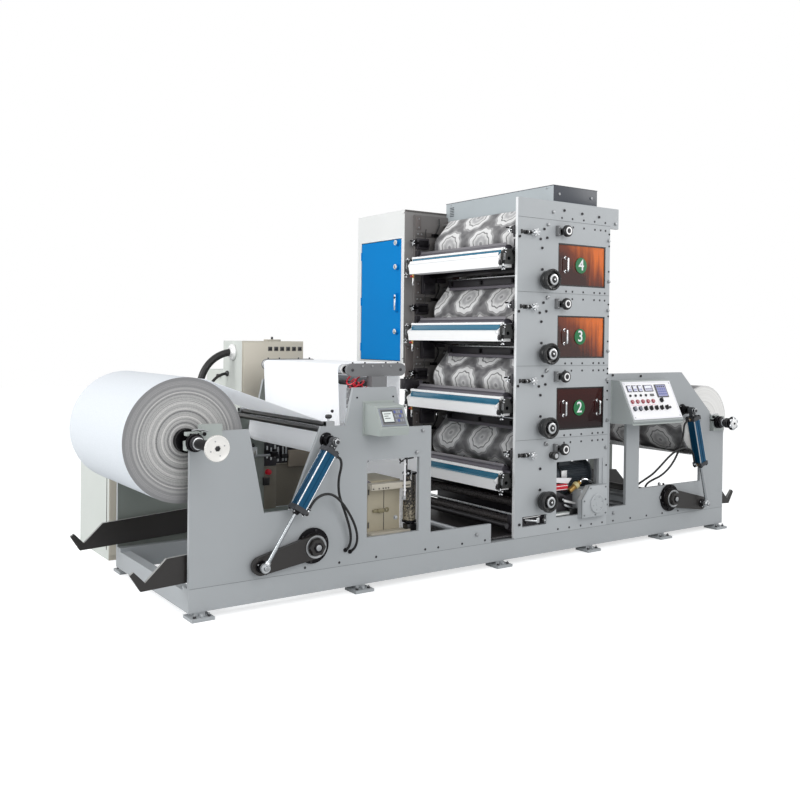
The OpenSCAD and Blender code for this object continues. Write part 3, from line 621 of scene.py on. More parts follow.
nodeFinish = {"base_beams": "baseEnamel", "base_crossbeams": "baseEnamel", "levelling_feet": "baseEnamel",
    "drip_floor": "dripEnamel", "unwind_side_plates": "plateEnamel", "rewind_side_plates": "plateEnamel",
    "unit_1_side_plates": "towerEnamel", "unit_2_side_plates": "towerEnamel", "unit_3_side_plates": "towerEnamel",
    "unit_4_side_plates": "towerEnamel", "crown_plates": "towerEnamel", "top_duct": "ductEnamel",
    "tie_bars": "zincSteel", "window_doors": "amberSheet", "window_handles": "chromeSteel",
    "ink_trays": "trayEnamel", "tray_brackets": "blackEnamel", "fountain_rollers": "rollerRubber",
    "anilox_rollers": "aniloxSteel", "plate_cylinders": "blackSteel", "impression_cylinders": "brightSteel",
    "guide_rollers": "brightSteel", "plain_web": "paper", "printed_web": "paper", "web_guide": "guideEnamel",
    "bearing_saddles": "boxEnamel", "tension_box": "boxEnamel", "control_desk": "deskEnamel",
    "desk_panel": "whitePlastic", "drive_motor": "motorEnamel", "gearbox": "towerEnamel",
    "adjuster_knobs": "blackPlastic", "lift_brackets": "blackSteel", "hanging_cabinet": "ivoryEnamel",
    "rear_cabinets": "cabinetEnamel", "pump_cabinet": "sandEnamel", "conduits": "hoseRubber",
    "unwind_hoses": "hoseRubber", "rewind_hoses": "hoseRubber", "paper_roll": "paperRoll",
    "unwind_shaft": "blackSteel", "printed_roll": "printedRoll", "rewind_shaft": "blackSteel",
    "unwind_lift_arms": "crankEnamel", "unwind_barrels": "unwindCylinder", "unwind_rods": "rodSteel",
    "rewind_lift_arms": "crankEnamel", "rewind_barrels": "rewindCylinder", "rewind_rods": "rodSteel",
    "handwheel_1": "blackPlastic", "handwheel_2": "blackPlastic", "handwheel_3": "blackPlastic",
    "handwheel_4": "blackPlastic", "cabinet_door": "blueEnamel"}
for node, finishName in nodeFinish.items():
    coloured(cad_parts[node], finishName)
print("frame nodes finished")


# The hoses' routes repeat the part's, as (x, y, z) in millimetres; the frame holds the far ends
hoses = {"unwindHoseA": {"body": "unwind_cylinders", "until": (900, -44, 342), "route": [
        (792, -86, 765), (808, -86, 752), (815, -86, 727), (812, -86, 700), (806, -84, 672),
        (802, -82, 640), (803, -79, 604), (811, -74, 562), (828, -69, 518), (849, -64, 474),
        (869, -57, 430), (888, -50, 386), (902, -44, 342), (909, -36, 302), (908, -25, 268), (899, -15, 246)]},
    "unwindHoseB": {"body": "unwind_cylinders", "until": (884, -79, 434), "route": [
        (624, -86, 506), (637, -87, 527), (659, -88, 551), (688, -90, 568), (722, -91, 574),
        (757, -91, 567), (791, -90, 546), (824, -88, 514), (855, -84, 476), (884, -79, 434),
        (910, -72, 390), (930, -63, 344), (940, -52, 298), (939, -34, 258), (929, -15, 234)]},
    "rewindHoseA": {"body": "rewind_cylinders", "until": (3564, -67, 545), "route": [
        (3692, -86, 832), (3673, -86, 822), (3658, -86, 803), (3652, -86, 780),
        (3648, -86, 748), (3641, -84, 712), (3629, -80, 670), (3612, -77, 628), (3590, -73, 586),
        (3564, -67, 545), (3534, -58, 507), (3502, -44, 473), (3469, -24, 444), (3438, 4, 421),
        (3414, 30, 396), (3402, 44, 368)]},
    "rewindHoseB": {"body": "rewind_cylinders", "until": (3531, -88, 610), "route": [
        (3774, -86, 535), (3766, -88, 562), (3752, -91, 592), (3728, -94, 618),
        (3694, -96, 635), (3654, -97, 642), (3612, -96, 640), (3571, -93, 629), (3531, -88, 610),
        (3492, -80, 582), (3455, -70, 547), (3420, -54, 508), (3386, -32, 468), (3350, 2, 430),
        (3318, 32, 396), (3304, 44, 368)]}}
hoseRadius = 7


def farSide(point):
    return (point[0], press["width"] - point[1], point[2])


def addHose(name, hose, side, turn=lambda p: p):
    points = [turn(p) for p in hose["route"]]
    route = smoothRoute(points, 5)
    tube = finish(addTube(points, hoseRadius, 16, 5), name + side, "hoseRubber", None)
    place(*points[0])
    place(*turn(hose["until"]))
    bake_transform(tube)
    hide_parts("unwind_hoses" if "unwind" in name else "rewind_hoses")
    length = sum((b - a).length for a, b in zip(route, route[1:]))
    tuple(route[0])


for name, hose in hoses.items():
    addHose(name, hose, "Near")
    addHose(name, hose, "Far", farSide)
print("hoses made")


# the web runs in millimetres; gap is its clearance to a roller, half its half thickness
paper = {"near": 103.5, "far": 1008.5, "gap": 1.3, "half": 0.4}
idler = 22 + paper["gap"]
web = {"roll": (14, 878, -321), "infeed": [(795, 926, -15.3), (860, 806, 61.3), (930, 1222, -29.3),
       (1290, 1222, -29.3), (1342.6, 865, idler), (1437.4, 740, -idler), (1484, 180, idler),
       (2418, 180, idler), (2418, 522.4, idler)],
       "exit": [(2868, 2228, -idler), (2912, 768, idler), (4130, 800, 268)]}


def webPath():
    path = [web["roll"]] + web["infeed"]
    for unit in units:
        top = unitTop(unit)
        path += [(2360, top - 112, -108 - paper["gap"]), (2395, top + 63, -idler)]
        if unit < 4:
            path += [(2452, top + 40, idler), (2452, unitTop(unit + 1) - 244.6, idler)]
    return path + web["exit"]


def webLine(path):
    # points of the paper's middle, each with its normal; one list for each entry of the path
    headings = []
    for a, b in zip(path, path[1:]):
        dx, dz = b[0] - a[0], b[1] - a[1]
        headings.append(math.atan2(dz, dx) - math.asin((b[2] - a[2]) / math.hypot(dx, dz)))
    runs = []
    for i in range(len(path) - 1):
        x, z, r = path[i]
        last = headings[i]
        first = headings[i - 1] if i else last
        sweep = last - first
        full = 2 * math.pi
        sweep -= full * math.floor(sweep / full) if r > 0 else full * math.ceil(sweep / full)
        if abs(sweep) > math.radians(359):
            sweep = 0
        steps = max(1, math.ceil(abs(sweep) / math.radians(5))) if i else 0
        run = []
        for s in range(steps + 1):
            h = first + sweep * (s / steps if steps else 0)
            normal = (-math.sin(h), math.cos(h))
            run.append((x - r * normal[0], z - r * normal[1], normal))
        runs.append(run)
    x, z, r = path[-1]
    normal = (-math.sin(headings[-1]), math.cos(headings[-1]))
    runs.append([(x - r * normal[0], z - r * normal[1], normal)])
    return runs


def addRibbon(line, name, finishName, node, start, body="frame"):
    # a thin closed band along the line, with its length and width in metres as UVs
    verts, faces, spots = [], [], []
    travel = [start]
    for a, b in zip(line, line[1:]):
        travel.append(travel[-1] + math.hypot(b[0] - a[0], b[1] - a[1]) / 1000)
    for (x, z, normal), d in zip(line, travel):
        for side, y in ((1, paper["near"]), (1, paper["far"]), (-1, paper["far"]), (-1, paper["near"])):
            verts.append(place(x + side * paper["half"] * normal[0], y, z + side * paper["half"] * normal[1]))
            spots.append((y / 1000, d))
    count = len(line)
    for i in range(count - 1):
        for k in range(4):
            faces.append((4 * i + k, 4 * i + (k + 1) % 4, 4 * i + 4 + (k + 1) % 4, 4 * i + 4 + k))
    faces += [(3, 2, 1, 0), tuple(4 * (count - 1) + k for k in range(4))]
    mesh = bpy.data.meshes.new(name)
    mesh.from_pydata(verts, [], faces)
    layer = mesh.uv_layers.new(name="web")
    for loop in mesh.loops:
        layer.data[loop.index].uv = spots[loop.vertex_index]
    piece = linked(bpy.data.objects.new(name, mesh))
    finish(piece, name, finishName, body, smooth=20)
    selectOnly(piece)
    editWhole()
    if node:
        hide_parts(node)
    return travel[-1]


runs = webLine(webPath())
firstPrint = 1 + len(web["infeed"])
plain = [p for run in runs[:firstPrint] for p in run] + [runs[firstPrint][0]]
printed = [p for run in runs[firstPrint:] for p in run]
webLength = addRibbon(plain, "paperWeb", "paper", "plain_web", 0.0)
addRibbon(printed, "printedWeb", "printedPaper", "printed_web", webLength)
# the outermost turn of the printed roll shows the print as well
turns = [math.radians(2 * i) for i in range(181)]
addRibbon([(4130 + 262.6 * math.cos(t), 800 + 262.6 * math.sin(t), (math.cos(t), math.sin(t))) for t in turns],
          "rollPrint", "printedPaper", None, 0.0, "rewind_reel")
print("web threaded")


def screwHead(kind):
    # one screw at x = z = 0 on the operator face, looking towards it
    if kind == "hex":
        return joined([addTurned([(0, 0), (13, 0), (13, 2), (0, 2)], (0, 0, 0), 24),
                       addRod((0, -2, 0), (0, -10, 0), 10.5, 6, 1.0)])
    if kind == "socket":
        return joined([addTurned([(0, 0), (7.5, 0), (8.5, 1), (8.5, 7), (7.5, 8), (4, 8), (4, 3), (0, 3)], (0, 0, 0),
                                 20)])
    return addTurned([(0, 0), (7, 0), (7, 1.2), (6.2, 2), (3, 2), (2.5, 1), (0, 1)], (0, 0, 0), 16)


screws = {"unit": {"hex": [(2385, -34), (2946, -99), (2951, -372), (2390, -495)],
             "socket": [(2351, -65), (2377, -119), (2320, -130), (2335, -186), (2143, -125), (2338, -321)],
             "plug": [(x, z) for x in (2553, 2611, 2710, 2813, 2867, 2914) for z in (14, -34)]},
    "crown": {"hex": [(2430, 2215), (3008, 2184)], "socket": [(2526, 2233), (2689, 2225), (2848, 2217)],
              "plug": [(2508, 2184), (2603, 2184), (2707, 2184), (2809, 2184), (2911, 2184)]},
    "foot": {"hex": [(2395, 731), (2944, 679), (2950, 404), (1826, 217), (3029, 228), (1373, 744),
                     (1227, 385), (1285, 490), (1415, 868), (3511, 290), (3496, 387)],
             "socket": [(2342, 579), (2342, 445), (2956, 293), (2170, 240), (3540, 383),
                        (1203, 1020), (803, 1002), (1228, 940), (3001, 1164), (3285, 1154)],
             "plug": [(x, 176) for x in (420, 648, 860, 1100, 1441, 1536, 1715, 1893, 2508, 2610, 2716, 2815,
                                         2920, 3027, 3200, 3367, 3536, 3709, 4035)]}}


def addScrews():
    spots = {"hex": [], "socket": [], "plug": []}
    for kind in spots:
        for unit in units:
            top = unitTop(unit)
            for x, z in screws["unit"][kind]:
                if unit == 1 and z < -60 or unit == 4 and z > 0:
                    continue
                spots[kind].append((x, top + z))
        spots[kind] += screws["crown"][kind] + screws["foot"][kind]
    finishOf = {"hex": "zincSteel", "socket": "darkSteel", "plug": "darkSteel"}
    for kind, where in spots.items():
        head = screwHead(kind)
        copies = []
        for x, z in where:
            copies.append(copied(head, Matrix.Translation(place(x, 0, z) - place(0, 0, 0))))
            copies.append(mirrored(copies[-1]))
        bpy.data.objects.remove(head)
        finish(joined(copies), "frame" + kind.title() + "Screws", finishOf[kind])


addScrews()
print("screws set")


window = {"left": 2480, "width": 438, "low": -418, "height": 275}


def discWithNumeral(x, z, text):
    disc = addTurned([(0, 0), (51, 0), (52, 1), (51, 2.5), (0, 2.5)], (x, 3, z), 48)
    coloured(disc, "greenPlastic")
    bpy.ops.object.text_add(location=(0, 0, 0))
    numeral = bpy.context.object
    numeral.data.body = text
    numeral.data.align_x = "CENTER"
    numeral.data.align_y = "CENTER"
    numeral.data.size = 0.1
    numeral.data.extrude = 0.0005
    numeral.data.offset = 0.0012
    selectOnly(numeral)
    bpy.ops.object.convert(target="MESH")
    numeral = bpy.context.object
    numeral.rotation_euler = (math.radians(90), 0, 0)
    numeral.location = place(x, 0, z)
    applyPlace(numeral)
    coloured(numeral, "whitePlastic")
    return [disc, numeral]


def ringOf(outer, inner, y0, y1, edge=0.6):
    # a flat frame between two rectangles (x0, z0, x1, z1)
    bars = []
    x0, z0, x1, z1 = outer
    a0, b0, a1, b1 = inner
    for low, high in (((x0, z0), (x1, b0)), ((x0, b1), (x1, z1)), ((x0, b0), (a0, b1)), ((a1, b0), (x1, b1))):
        bars.append(addBlock((low[0], y0, low[1]), (high[0], y1, high[1]), edge, 1))
    return bars


def addHandle(x, z, height=100):
    # chromed pull handle with rounded corners, on two rosettes
    stand = -22
    corner = 12
    points = [(x, 5, z + 6), (x, stand + corner, z + 6), (x, stand + 3, z + 9), (x, stand, z + 6 + corner),
              (x, stand, z + height / 2), (x, stand, z + height - 6 - corner), (x, stand + 3, z + height - 9),
              (x, stand + corner, z + height - 6), (x, 5, z + height - 6)]
    bow = addTube(points, 6, 16, 5)
    feet = [addTurned([(0, 0), (10, 0), (10, 1.5), (7, 3), (0, 3)], (x, 5.9, z + e), 24) for e in (6, height - 6)]
    return joined([bow] + feet)


def addWindows():
    handles, gaskets, marks = [], [], []
    for unit in (2, 3, 4):
        low = unitTop(unit) + window["low"]
        x0, x1 = window["left"], window["left"] + window["width"]
        top = low + window["height"]
        gaskets += ringOf((x0, low, x1, top), (x0 + 9, low + 9, x1 - 9, top - 9), 1.5, 5.9)
        handles.append(addHandle(2548, unitTop(unit) - 330))
        if unit == 2:
            handles.append(addHandle(2862, unitTop(unit) - 330))
        marks += discWithNumeral(2690, low + 140, str(unit))
    near = {"windowHandles": (joined(handles), "chromeSteel"), "windowGaskets": (joined(gaskets), "blackPlastic")}
    for name, (piece, finishName) in near.items():
        far = mirrored(piece)
        whole = finish(joined([piece, far]), name, finishName)
        if name == "windowHandles":
            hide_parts("window_handles")
    finish(joined(marks), "unitNumbers", None)


addWindows()
print("windows glazed")


wheel = {"at": (2350, -389), "gap": 66}


def addWheelTrim(unit):
    x, z = wheel["at"][0], unitTop(unit) + wheel["at"][1]
    face = -wheel["gap"]
    parts = made([
        ("brightSteel", addTurned, [(22, 34.1), (29, 34.1), (33, 33), (33, 24), (34, 24), (34, 34), (29, 36),
         (22, 36)], (x, face, z), 48, toFront, False),
        ("blackPlastic", addTurned, [(28.5, 0), (58, 0), (60, -3), (60, -30), (56, -36), (28.5, -38)],
         (x, face, z), 48),
        ("blackPlastic", addTurned, [(0, 34), (20, 34), (20, 38), (17, 40), (9, 40), (0, 40)], (x, face, z), 40),
        ("chromeSteel", addTurned, [(0, 40), (7, 40), (7, 42), (5, 43.4), (0, 43.4)], (x, face, z), 24)])
    # finger grips round the rim
    parts += made([("blackPlastic", addTurned, [(0, 0), (5, 0), (5, 2.5), (3.5, 3.5), (0, 4)], (cx, face - 29, cz),
                    16) for cx, cz in around(10, 8, 57, x, z)])
    finish(joined(parts), "handwheelTrim%d" % unit, None, "handwheel_%d" % unit)
    boss = addTurned([(22.5, 0), (27, 0), (28, 1.5), (28, 25), (26, 28), (22.5, 28)], (x, 0, z), 40)
    return boss


def addKnob(x, z):
    # register knob with a graduated collar, on its bracket
    parts = made([
        ("guideEnamel", addBlock, (x - 55, -26, z - 32), (x - 34, 0, z + 34), 2),
        ("blackSteel", addBlock, (x - 34, -22, z - 9), (x - 10, -8, z + 9), 2),
        ("darkSteel", addTurned, [(0, 0), (20, 0), (22, 2), (22, 12), (16, 15), (15, 42), (0, 42)], (x, 0, z), 40),
        ("blackPlastic", addTurned, [(0, 40), (33, 40), (37, 43), (37, 60), (34, 65), (26, 66), (0, 66)], (x, 0, z),
         48),
        ("whiteSteel", addTurned, [(16, 65.6), (25, 65.6), (25, 67.4), (20, 68.2), (16, 67.4)], (x, 0, z), 36),
        ("darkSteel", addTurned, [(0, 65.6), (16, 65.6), (16, 66.4), (6, 66.8), (5, 69), (0, 69)], (x, 0, z), 36)])
    parts += made([("blackPlastic", addRod, (cx, -44, cz), (cx, -61, cz), 1.8, 6)
                   for cx, cz in around(24, 0, 36, x, z)])
    parts += made([("brightSteel", addRod, (x - 44.5, -25, z + dz), (x - 44.5, -31, z + dz), 5, 6, 0.6)
                   for dz in (-22, 22)])
    return joined(parts)


def addStarScrew(x, z):
    # clamping screw with a star grip, in the plate's slot, with its guide block
    block = coloured(addBlock((x - 68, -8, z - 9), (x - 8, 14, z + 9), 2.5), "blackEnamel")
    parts = [block, coloured(addRod((x - 62, -9, z), (x - 20, -9, z), 12, 24, 2), "blackPlastic"),
             coloured(addRod((x - 50, -10, z), (x - 46, -10, z), 13, 24, 0.8), "brightSteel"),
             coloured(addTurned([(0, 0), (16, 0), (16, 5), (12, 8), (9, 8), (9, 22), (14, 24), (14, 40), (10, 43),
                                 (0, 43)], (x, 0, z), 32), "brightSteel")]
    parts += made([("brightSteel", addTurned, [(0, 26), (6, 26), (7.4, 28), (7.4, 38), (6, 40.5), (0, 41)],
                    (cx, 0, cz), 14) for cx, cz in around(6, 12, 19, x, z)])
    parts += made([
        ("blackPlastic", addRod, (x - 92, -2, z + 2), (x - 60, -2, z + 2), 9, 20, 1.0),
        ("blackPlastic", addRod, (x - 100, -2, z + 2), (x - 90, -2, z + 2), 13, 20, 1.5)])
    return joined(parts)


def addAdjusters():
    knobs, stars, bosses = [], [], []
    for unit in units:
        bosses.append(addWheelTrim(unit))
        knobs.append(addKnob(2507, unitTop(unit) - 70))
        stars.append(addStarScrew(2254, unitTop(unit) - 95))
    piece = finish(joined(knobs + stars), "adjusters", None)
    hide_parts("adjuster_knobs")
    finish(joined(bosses), "handwheelBosses", "blackEnamel")


addAdjusters()
print("adjusters set")


def alongCylinder(clevis, pin):
    # gives a function from (along, sideways, y) on the cylinder to press coordinates
    reach = math.hypot(pin[0] - clevis[0], pin[1] - clevis[1])
    ux, uz = (pin[0] - clevis[0]) / reach, (pin[1] - clevis[1]) / reach

    def spot(along, side, y):
        return (clevis[0] + along * ux - side * uz, lift["barrelY"] + y, clevis[1] + along * uz + side * ux)
    return spot, (ux, 0, uz), (-uz, 0, ux), reach


def addCylinderTrim(name, portSide):
    spot, line, out, reach = alongCylinder(lift[name + "Clevis"], lift[name + "Pin"])
    back = tuple(-v for v in line)
    port = tuple(v * portSide for v in out)
    parts = []
    for a in (-1, 1):
        for b in (-1, 1):
            side, y = a * 29.5, b * 29.5
            parts += made([
                ("brightSteel", addRod, spot(70, side, y), spot(386, side, y), 4.2, 12),
                ("blackSteel", addRod, spot(411, side * 0.97, y * 0.97), spot(419, side * 0.97, y * 0.97), 7.5, 6,
                 0.8),
                ("brightSteel", addTurned, [(0, 0), (3.4, 0), (3.4, 4), (2.6, 5), (0, 5)],
                 spot(418.5, side * 0.97, y * 0.97), 12, line),
                ("blackSteel", addTurned, [(0, 0), (6, 0), (6, 4), (5, 5), (3, 5), (3, 3), (0, 3)],
                 spot(45.5, side * 0.97, y * 0.97), 14, back)])
    # rod gland with its wiper, seal rings where the tube meets the caps
    parts += made([
        ("blackSteel", addTurned, [(11, 0), (20, 0), (20, 6), (17.5, 8), (17.5, 14), (14, 16), (11, 16)],
         spot(411, 0, 0), 32, line),
        ("darkRubber", addTurned, [(10.6, 0), (15, 0), (15, 1.5), (12, 4), (10.6, 4)], spot(426.6, 0, 0), 28, line)])
    # port fittings: brass hexagon, nickel body, black release ring
    for along in (58, 398):
        base = spot(along, 38 * portSide, 0)
        parts += made([
            ("brass", addRod, base, spot(along, 46 * portSide, 0), 12, 6, 1.0),
            ("brightSteel", addTurned, [(9.2, 0), (11, 0), (11, 7), (9.2, 8)],
             spot(along, 47 * portSide, 0), 24, port)])
    parts.append(coloured(addTurned([(9.2, 0), (11.2, 0), (11.2, 4), (9.8, 5), (7.2, 5), (7.2, 3), (9.2, 3)],
                                    spot(58, 56.5 * portSide, 0), 24, port), "blackPlastic"))
    elbow = addTurned([(0, -9.6), (8, -8), (10.4, -3), (10.8, 3), (8, 8.4), (0, 10)], spot(398, 62 * portSide, 0), 20,
                      port)
    parts.append(coloured(elbow, "blackPlastic"))
    parts += made([
        ("blackPlastic", addTurned, [(9.2, 0), (11.2, 0), (11.2, 5), (9.8, 6), (7.2, 6), (7.2, 3), (9.2, 3)],
         spot(376, 62 * portSide, 0), 24, back),
        ("brightSteel", addTurned, [(9.2, 0), (10.6, 0), (10.6, 8), (9.2, 8)], spot(386, 62 * portSide, 0),
         24, back)])
    # clevis eye: washer and two small screws beside the swivel bolt
    eye = spot(0, 0, 0)
    parts.append(coloured(addTurned([(12.3, 0), (21, 0), (21, 2), (20, 3), (12.3, 3)],
                                    (eye[0], eye[1] - 18.2, eye[2]), 32), "zincSteel"))
    parts += made([("brightSteel", addTurned, [(0, 0), (4, 0), (4, 3), (3, 4), (0, 4)], spot(30, 10 * a, -14), 12)
                   for a in (-1, 1)])
    body = joined(parts)
    end = spot(reach, 0, 0)
    rod = made([
        ("zincSteel", addRod, spot(reach - 37, 0, 0), spot(reach - 29, 0, 0), 15, 6, 1.2),
        ("brightSteel", addTurned, [(9.9, 0), (14.6, 0), (15.4, 4), (15.4, 16), (14.4, 18), (9.9, 18)],
         spot(reach - 31, 0, 0), 32, line),
        ("brightSteel", addTurned, [(14, -13.2), (21, -13.2), (25.4, -9), (25.4, 9), (21, 13.2), (14, 13.2)], end, 36,
         toBack),
        ("zincSteel", addTurned, [(0, 0), (11, 0), (12.6, 1.2), (12.6, 5), (10, 7.5), (0, 8.5)],
         (end[0], end[1] - 16.5, end[2]), 24)])
    return body, joined(rod)


for name, portSide in (("unwind", 1), ("rewind", -1)):
    body, rod = addCylinderTrim(name, portSide)
    finish(bothSides(body), name + "CylinderTrim", None, name + "_cylinders")
    finish(bothSides(rod), name + "RodEnds", None, name + "_pistons")
print("cylinders dressed")


def addArmTrim(name):
    # polished washer and ring round the shaft's nut, bolts and the cranks' pin caps
    x, z = lift[name + "Pivot"]
    parts = made([
        ("zincSteel", addTurned, [(47, 0), (60, 0), (61, 1), (61, 4), (59, 6), (50, 6), (47, 4)], (x, -43, z), 48),
        ("blackSteel", addTurned, [(0, 0), (27, 0), (28, 1), (28, 3.6), (24, 6), (9, 6), (9, 3), (0, 3)], (x, -69, z),
         6),
        ("zincSteel", addTurned, [(0, 0), (18, 0), (18, 2), (15, 3.5), (0, 3.5)], (x, -72, z), 32)])
    px, pz = lift[name + "Pin"]
    parts.append(coloured(addTurned([(12.6, 0), (31, 0), (32, 1), (32, 4), (30, 5.6), (20, 5.6), (18, 8), (12.6, 8)],
                                    (px, -43, pz), 36), "blackSteel"))
    parts += made([("brightSteel", addTurned, [(0, 0), (3.6, 0), (3.6, 3), (2.6, 4), (1.6, 4), (1.6, 2.4), (0, 2.4)],
                    (bx, -48.6, bz), 12) for bx, bz in around(3, 30, 25.5, px, pz)])
    return joined(parts)


def addFlangeTrim(name):
    # six screws and a turned step on the shaft's flange
    x, z = lift[name + "Pivot"]
    parts = [coloured(addTurned([(41, 0), (70, 0), (72, 1.5), (72, 3), (68, 6), (41, 6)], (x, -11.8, z), 48),
                      "blackSteel")]
    parts += made([("darkSteel", addTurned, [(0, 0), (6.5, 0), (6.5, 5), (5.5, 6), (3.4, 6), (3.4, 3), (0, 3)],
                    (bx, -12, bz), 16) for bx, bz in around(6, 20, 83, x, z)])
    cx, cz = lift[name + "Clevis"]
    # turned base of the swivel bolt with its screws and end nut
    parts += made([
        ("blackSteel", addTurned, [(28.2, 0), (40, 0), (41, 1), (41, 6), (38, 9), (30, 10), (30, 30), (28.2, 31)],
         (cx, 0, cz), 40),
        ("zincSteel", addRod, (cx, -110.4, cz), (cx, -122, cz), 19.5, 6, 1.5),
        ("darkSteel", addTurned, [(0, 0), (10, 0), (10, 3), (8, 5), (0, 5)], (cx, -121.6, cz), 20)])
    parts += made([("zincSteel", addTurned, [(0, 0), (4, 0), (4, 3), (3, 4), (0, 4)], (bx, -8, bz), 12)
                   for bx, bz in around(4, 45, 35, cx, cz)])
    return joined(parts)


for name in ("unwind", "rewind"):
    finish(bothSides(addArmTrim(name)), name + "ArmTrim", None, name + "_arms")
    finish(bothSides(addFlangeTrim(name)), name + "FlangeTrim", None)
print("lift arms dressed")


def addReelTrim(x, z):
    # stepped collars between roll and saddle, then knurled ring and hand disc
    near = made([
        ("blackSteel", addTurned, [(25.2, 0), (42.6, 0), (44, 1), (44, 10), (40, 12), (40, 20), (44, 22), (44, 26),
         (42, 27.4), (25.2, 27.4)], (x, -17.4, z), 48),
        ("darkSteel", addTurned, [(25.2, 0), (34.6, 0), (36, 1.5), (36, 5), (32, 6.5), (32, 10), (36, 11.5), (36, 15),
         (34, 17), (25.2, 17)], (x, -49.6, z), 48),
        ("brightSteel", addTurned, [(25.2, 0), (30, 0), (30, 8), (27, 9), (25.2, 9)], (x, -70, z), 40)])
    near += made([("blackSteel", addRod, (cx, -20, cz), (cx, -27, cz), 1.8, 5)
                  for cx, cz in around(30, 0, 43.6, x, z)])
    # expanding chuck in the core, with its screws
    near.append(coloured(addTurned([(30.2, 0), (58, 0), (61, 3), (61, 14), (58, 17), (52, 17), (44, 26), (44, 36),
                                    (30.2, 36)], (x, 103, z), 48), "blackSteel"))
    near += made([("zincSteel", addTurned, [(0, 0), (4.2, 0), (4.2, 3), (3.2, 4), (2, 4), (2, 2), (0, 2)],
                   (bx, 86, bz), 12) for bx, bz in around(6, 10, 53, x, z)])
    return near


def addHandDisc(x, z, y, radius):
    # pale cast hand disc with a raised rim, its black socket nut and the collar behind it
    parts = made([
        ("discIvory", addTurned, [(0, -0.4), (radius - 6, -0.4), (radius + 0.6, 1), (radius + 0.6, 9),
         (radius - 3, 12), (radius - 7, 12), (radius - 10, 10.4), (26, 10.4), (24, 12), (17, 12), (16, 10.4),
         (0, 10.4)], (x, y, z), 64),
        ("blackPlastic", addTurned, [(0, 0), (14, 0), (14, 2.4), (11, 3.6), (8, 3.6), (8, 1), (0, 1)],
         (x, y - 9.6, z), 6),
        ("darkSteel", addTurned, [(25.2, 0), (31, 0), (33, 2), (33, 14), (29, 20), (25.2, 20)], (x, y + 20, z), 40)])
    parts += made([("zincSteel", addTurned, [(0, 0), (3.4, 0), (3.4, 1.4), (2.6, 2), (0, 2)], (bx, y - 10.2, bz), 12)
                   for bx, bz in around(4, 20, 36, x, z)])
    return parts


def addStarGrip(x, z, y, radius):
    # six-lobed bright grip on the rewind shaft, and a knurled black collar
    parts = [coloured(addTurned([(0, 0), (radius - 20, 0), (radius - 14, 4), (radius - 14, 12), (radius - 20, 15),
                                 (0, 16)], (x, y, z), 40), "whiteSteel")]
    parts += made([("brightSteel", addTurned, [(0, 1), (12, 1), (15, 3.6), (15, 11), (12, 14), (0, 15)], (cx, y, cz),
                    20) for cx, cz in around(6, 25, radius - 15, x, z)])
    parts += made([
        ("blackSteel", addTurned, [(0, 0), (9, 0), (9, 3), (7, 4), (0, 4)], (x, y - 15.6, z), 6),
        ("blackPlastic", addTurned, [(25.2, 0), (34, 0), (35, 1), (35, 26), (32, 30), (25.2, 30)],
         (x, y + 58, z), 40)])
    parts += made([("blackPlastic", addRod, (cx, y + 56, cz), (cx, y + 34, cz), 2.0, 5)
                   for cx, cz in around(20, 0, 34.6, x, z)])
    return parts


def addSaddleTrim(x, z, flip):
    # latch over the shaft with its hinge pin and spring catch, on the cast saddle
    def at(dx):
        return x + dx if not flip else x - dx
    low, high = sorted((at(-34), at(42)))
    parts = [coloured(addBlock((low, -9, z + 31), (high, 30, z + 50), 3), "boxEnamel")]
    low, high = sorted((at(40), at(66)))
    parts += made([
        ("boxEnamel", addBlock, (low, -16, z + 22), (high, 34, z + 56), 3),
        ("blackSteel", addTurned, [(0, 0), (9, 0), (9.6, 1), (9.6, 8), (8, 10), (4, 10), (4, 6), (0, 6)],
         (at(53), -16, z + 40), 20),
        ("zincSteel", addTube, [(at(-10), -14, z + 58), (at(16), -15, z + 62), (at(44), -16, z + 60),
         (at(74), -15, z + 52)], 4, 10, 4),
        ("brightSteel", addTurned, [(25.4, 0), (36, 0), (37, 1.5), (37, 4), (25.4, 4)], (x, -12, z), 40)])
    parts += made([("blackSteel", addTurned, [(0, 0), (5, 0), (5, 4), (4, 5), (2.4, 5), (2.4, 2.6), (0, 2.6)],
                    (at(dx), -9, z + dz), 14) for dx, dz in ((-14, 40), (26, 40))])
    return joined(parts)


plastic("discIvory", "#eceae6", 0.16, coat=0.6)
for name, (x, z), y, radius, disc in (("unwind", (14, 878), -290, 62, addHandDisc),
                                      ("rewind", (4130, 800), -148, 50, addStarGrip)):
    near = addReelTrim(x, z) + disc(x, z, y, radius)
    finish(bothSides(joined(near)), name + "ShaftTrim", None, name + "_reel")
    saddle = addSaddleTrim(x, z, name == "rewind")
    finish(bothSides(saddle), name + "SaddleTrim", None)
print("reel shafts dressed")


def onFace(low, high, x0):
    # gives a function from (across, down, out) in millimetres on a sloping face to press coordinates
    dy, dz = high[0] - low[0], high[1] - low[1]
    size = math.hypot(dy, dz)
    down = (dy / size, dz / size)
    out = (down[1], -down[0])

    def spot(across, along, lift=0.0):
        return (x0 + across, low[0] + along * down[0] + lift * out[0], low[1] + along * down[1] + lift * out[1])
    return spot, (0, out[0], out[1]), size


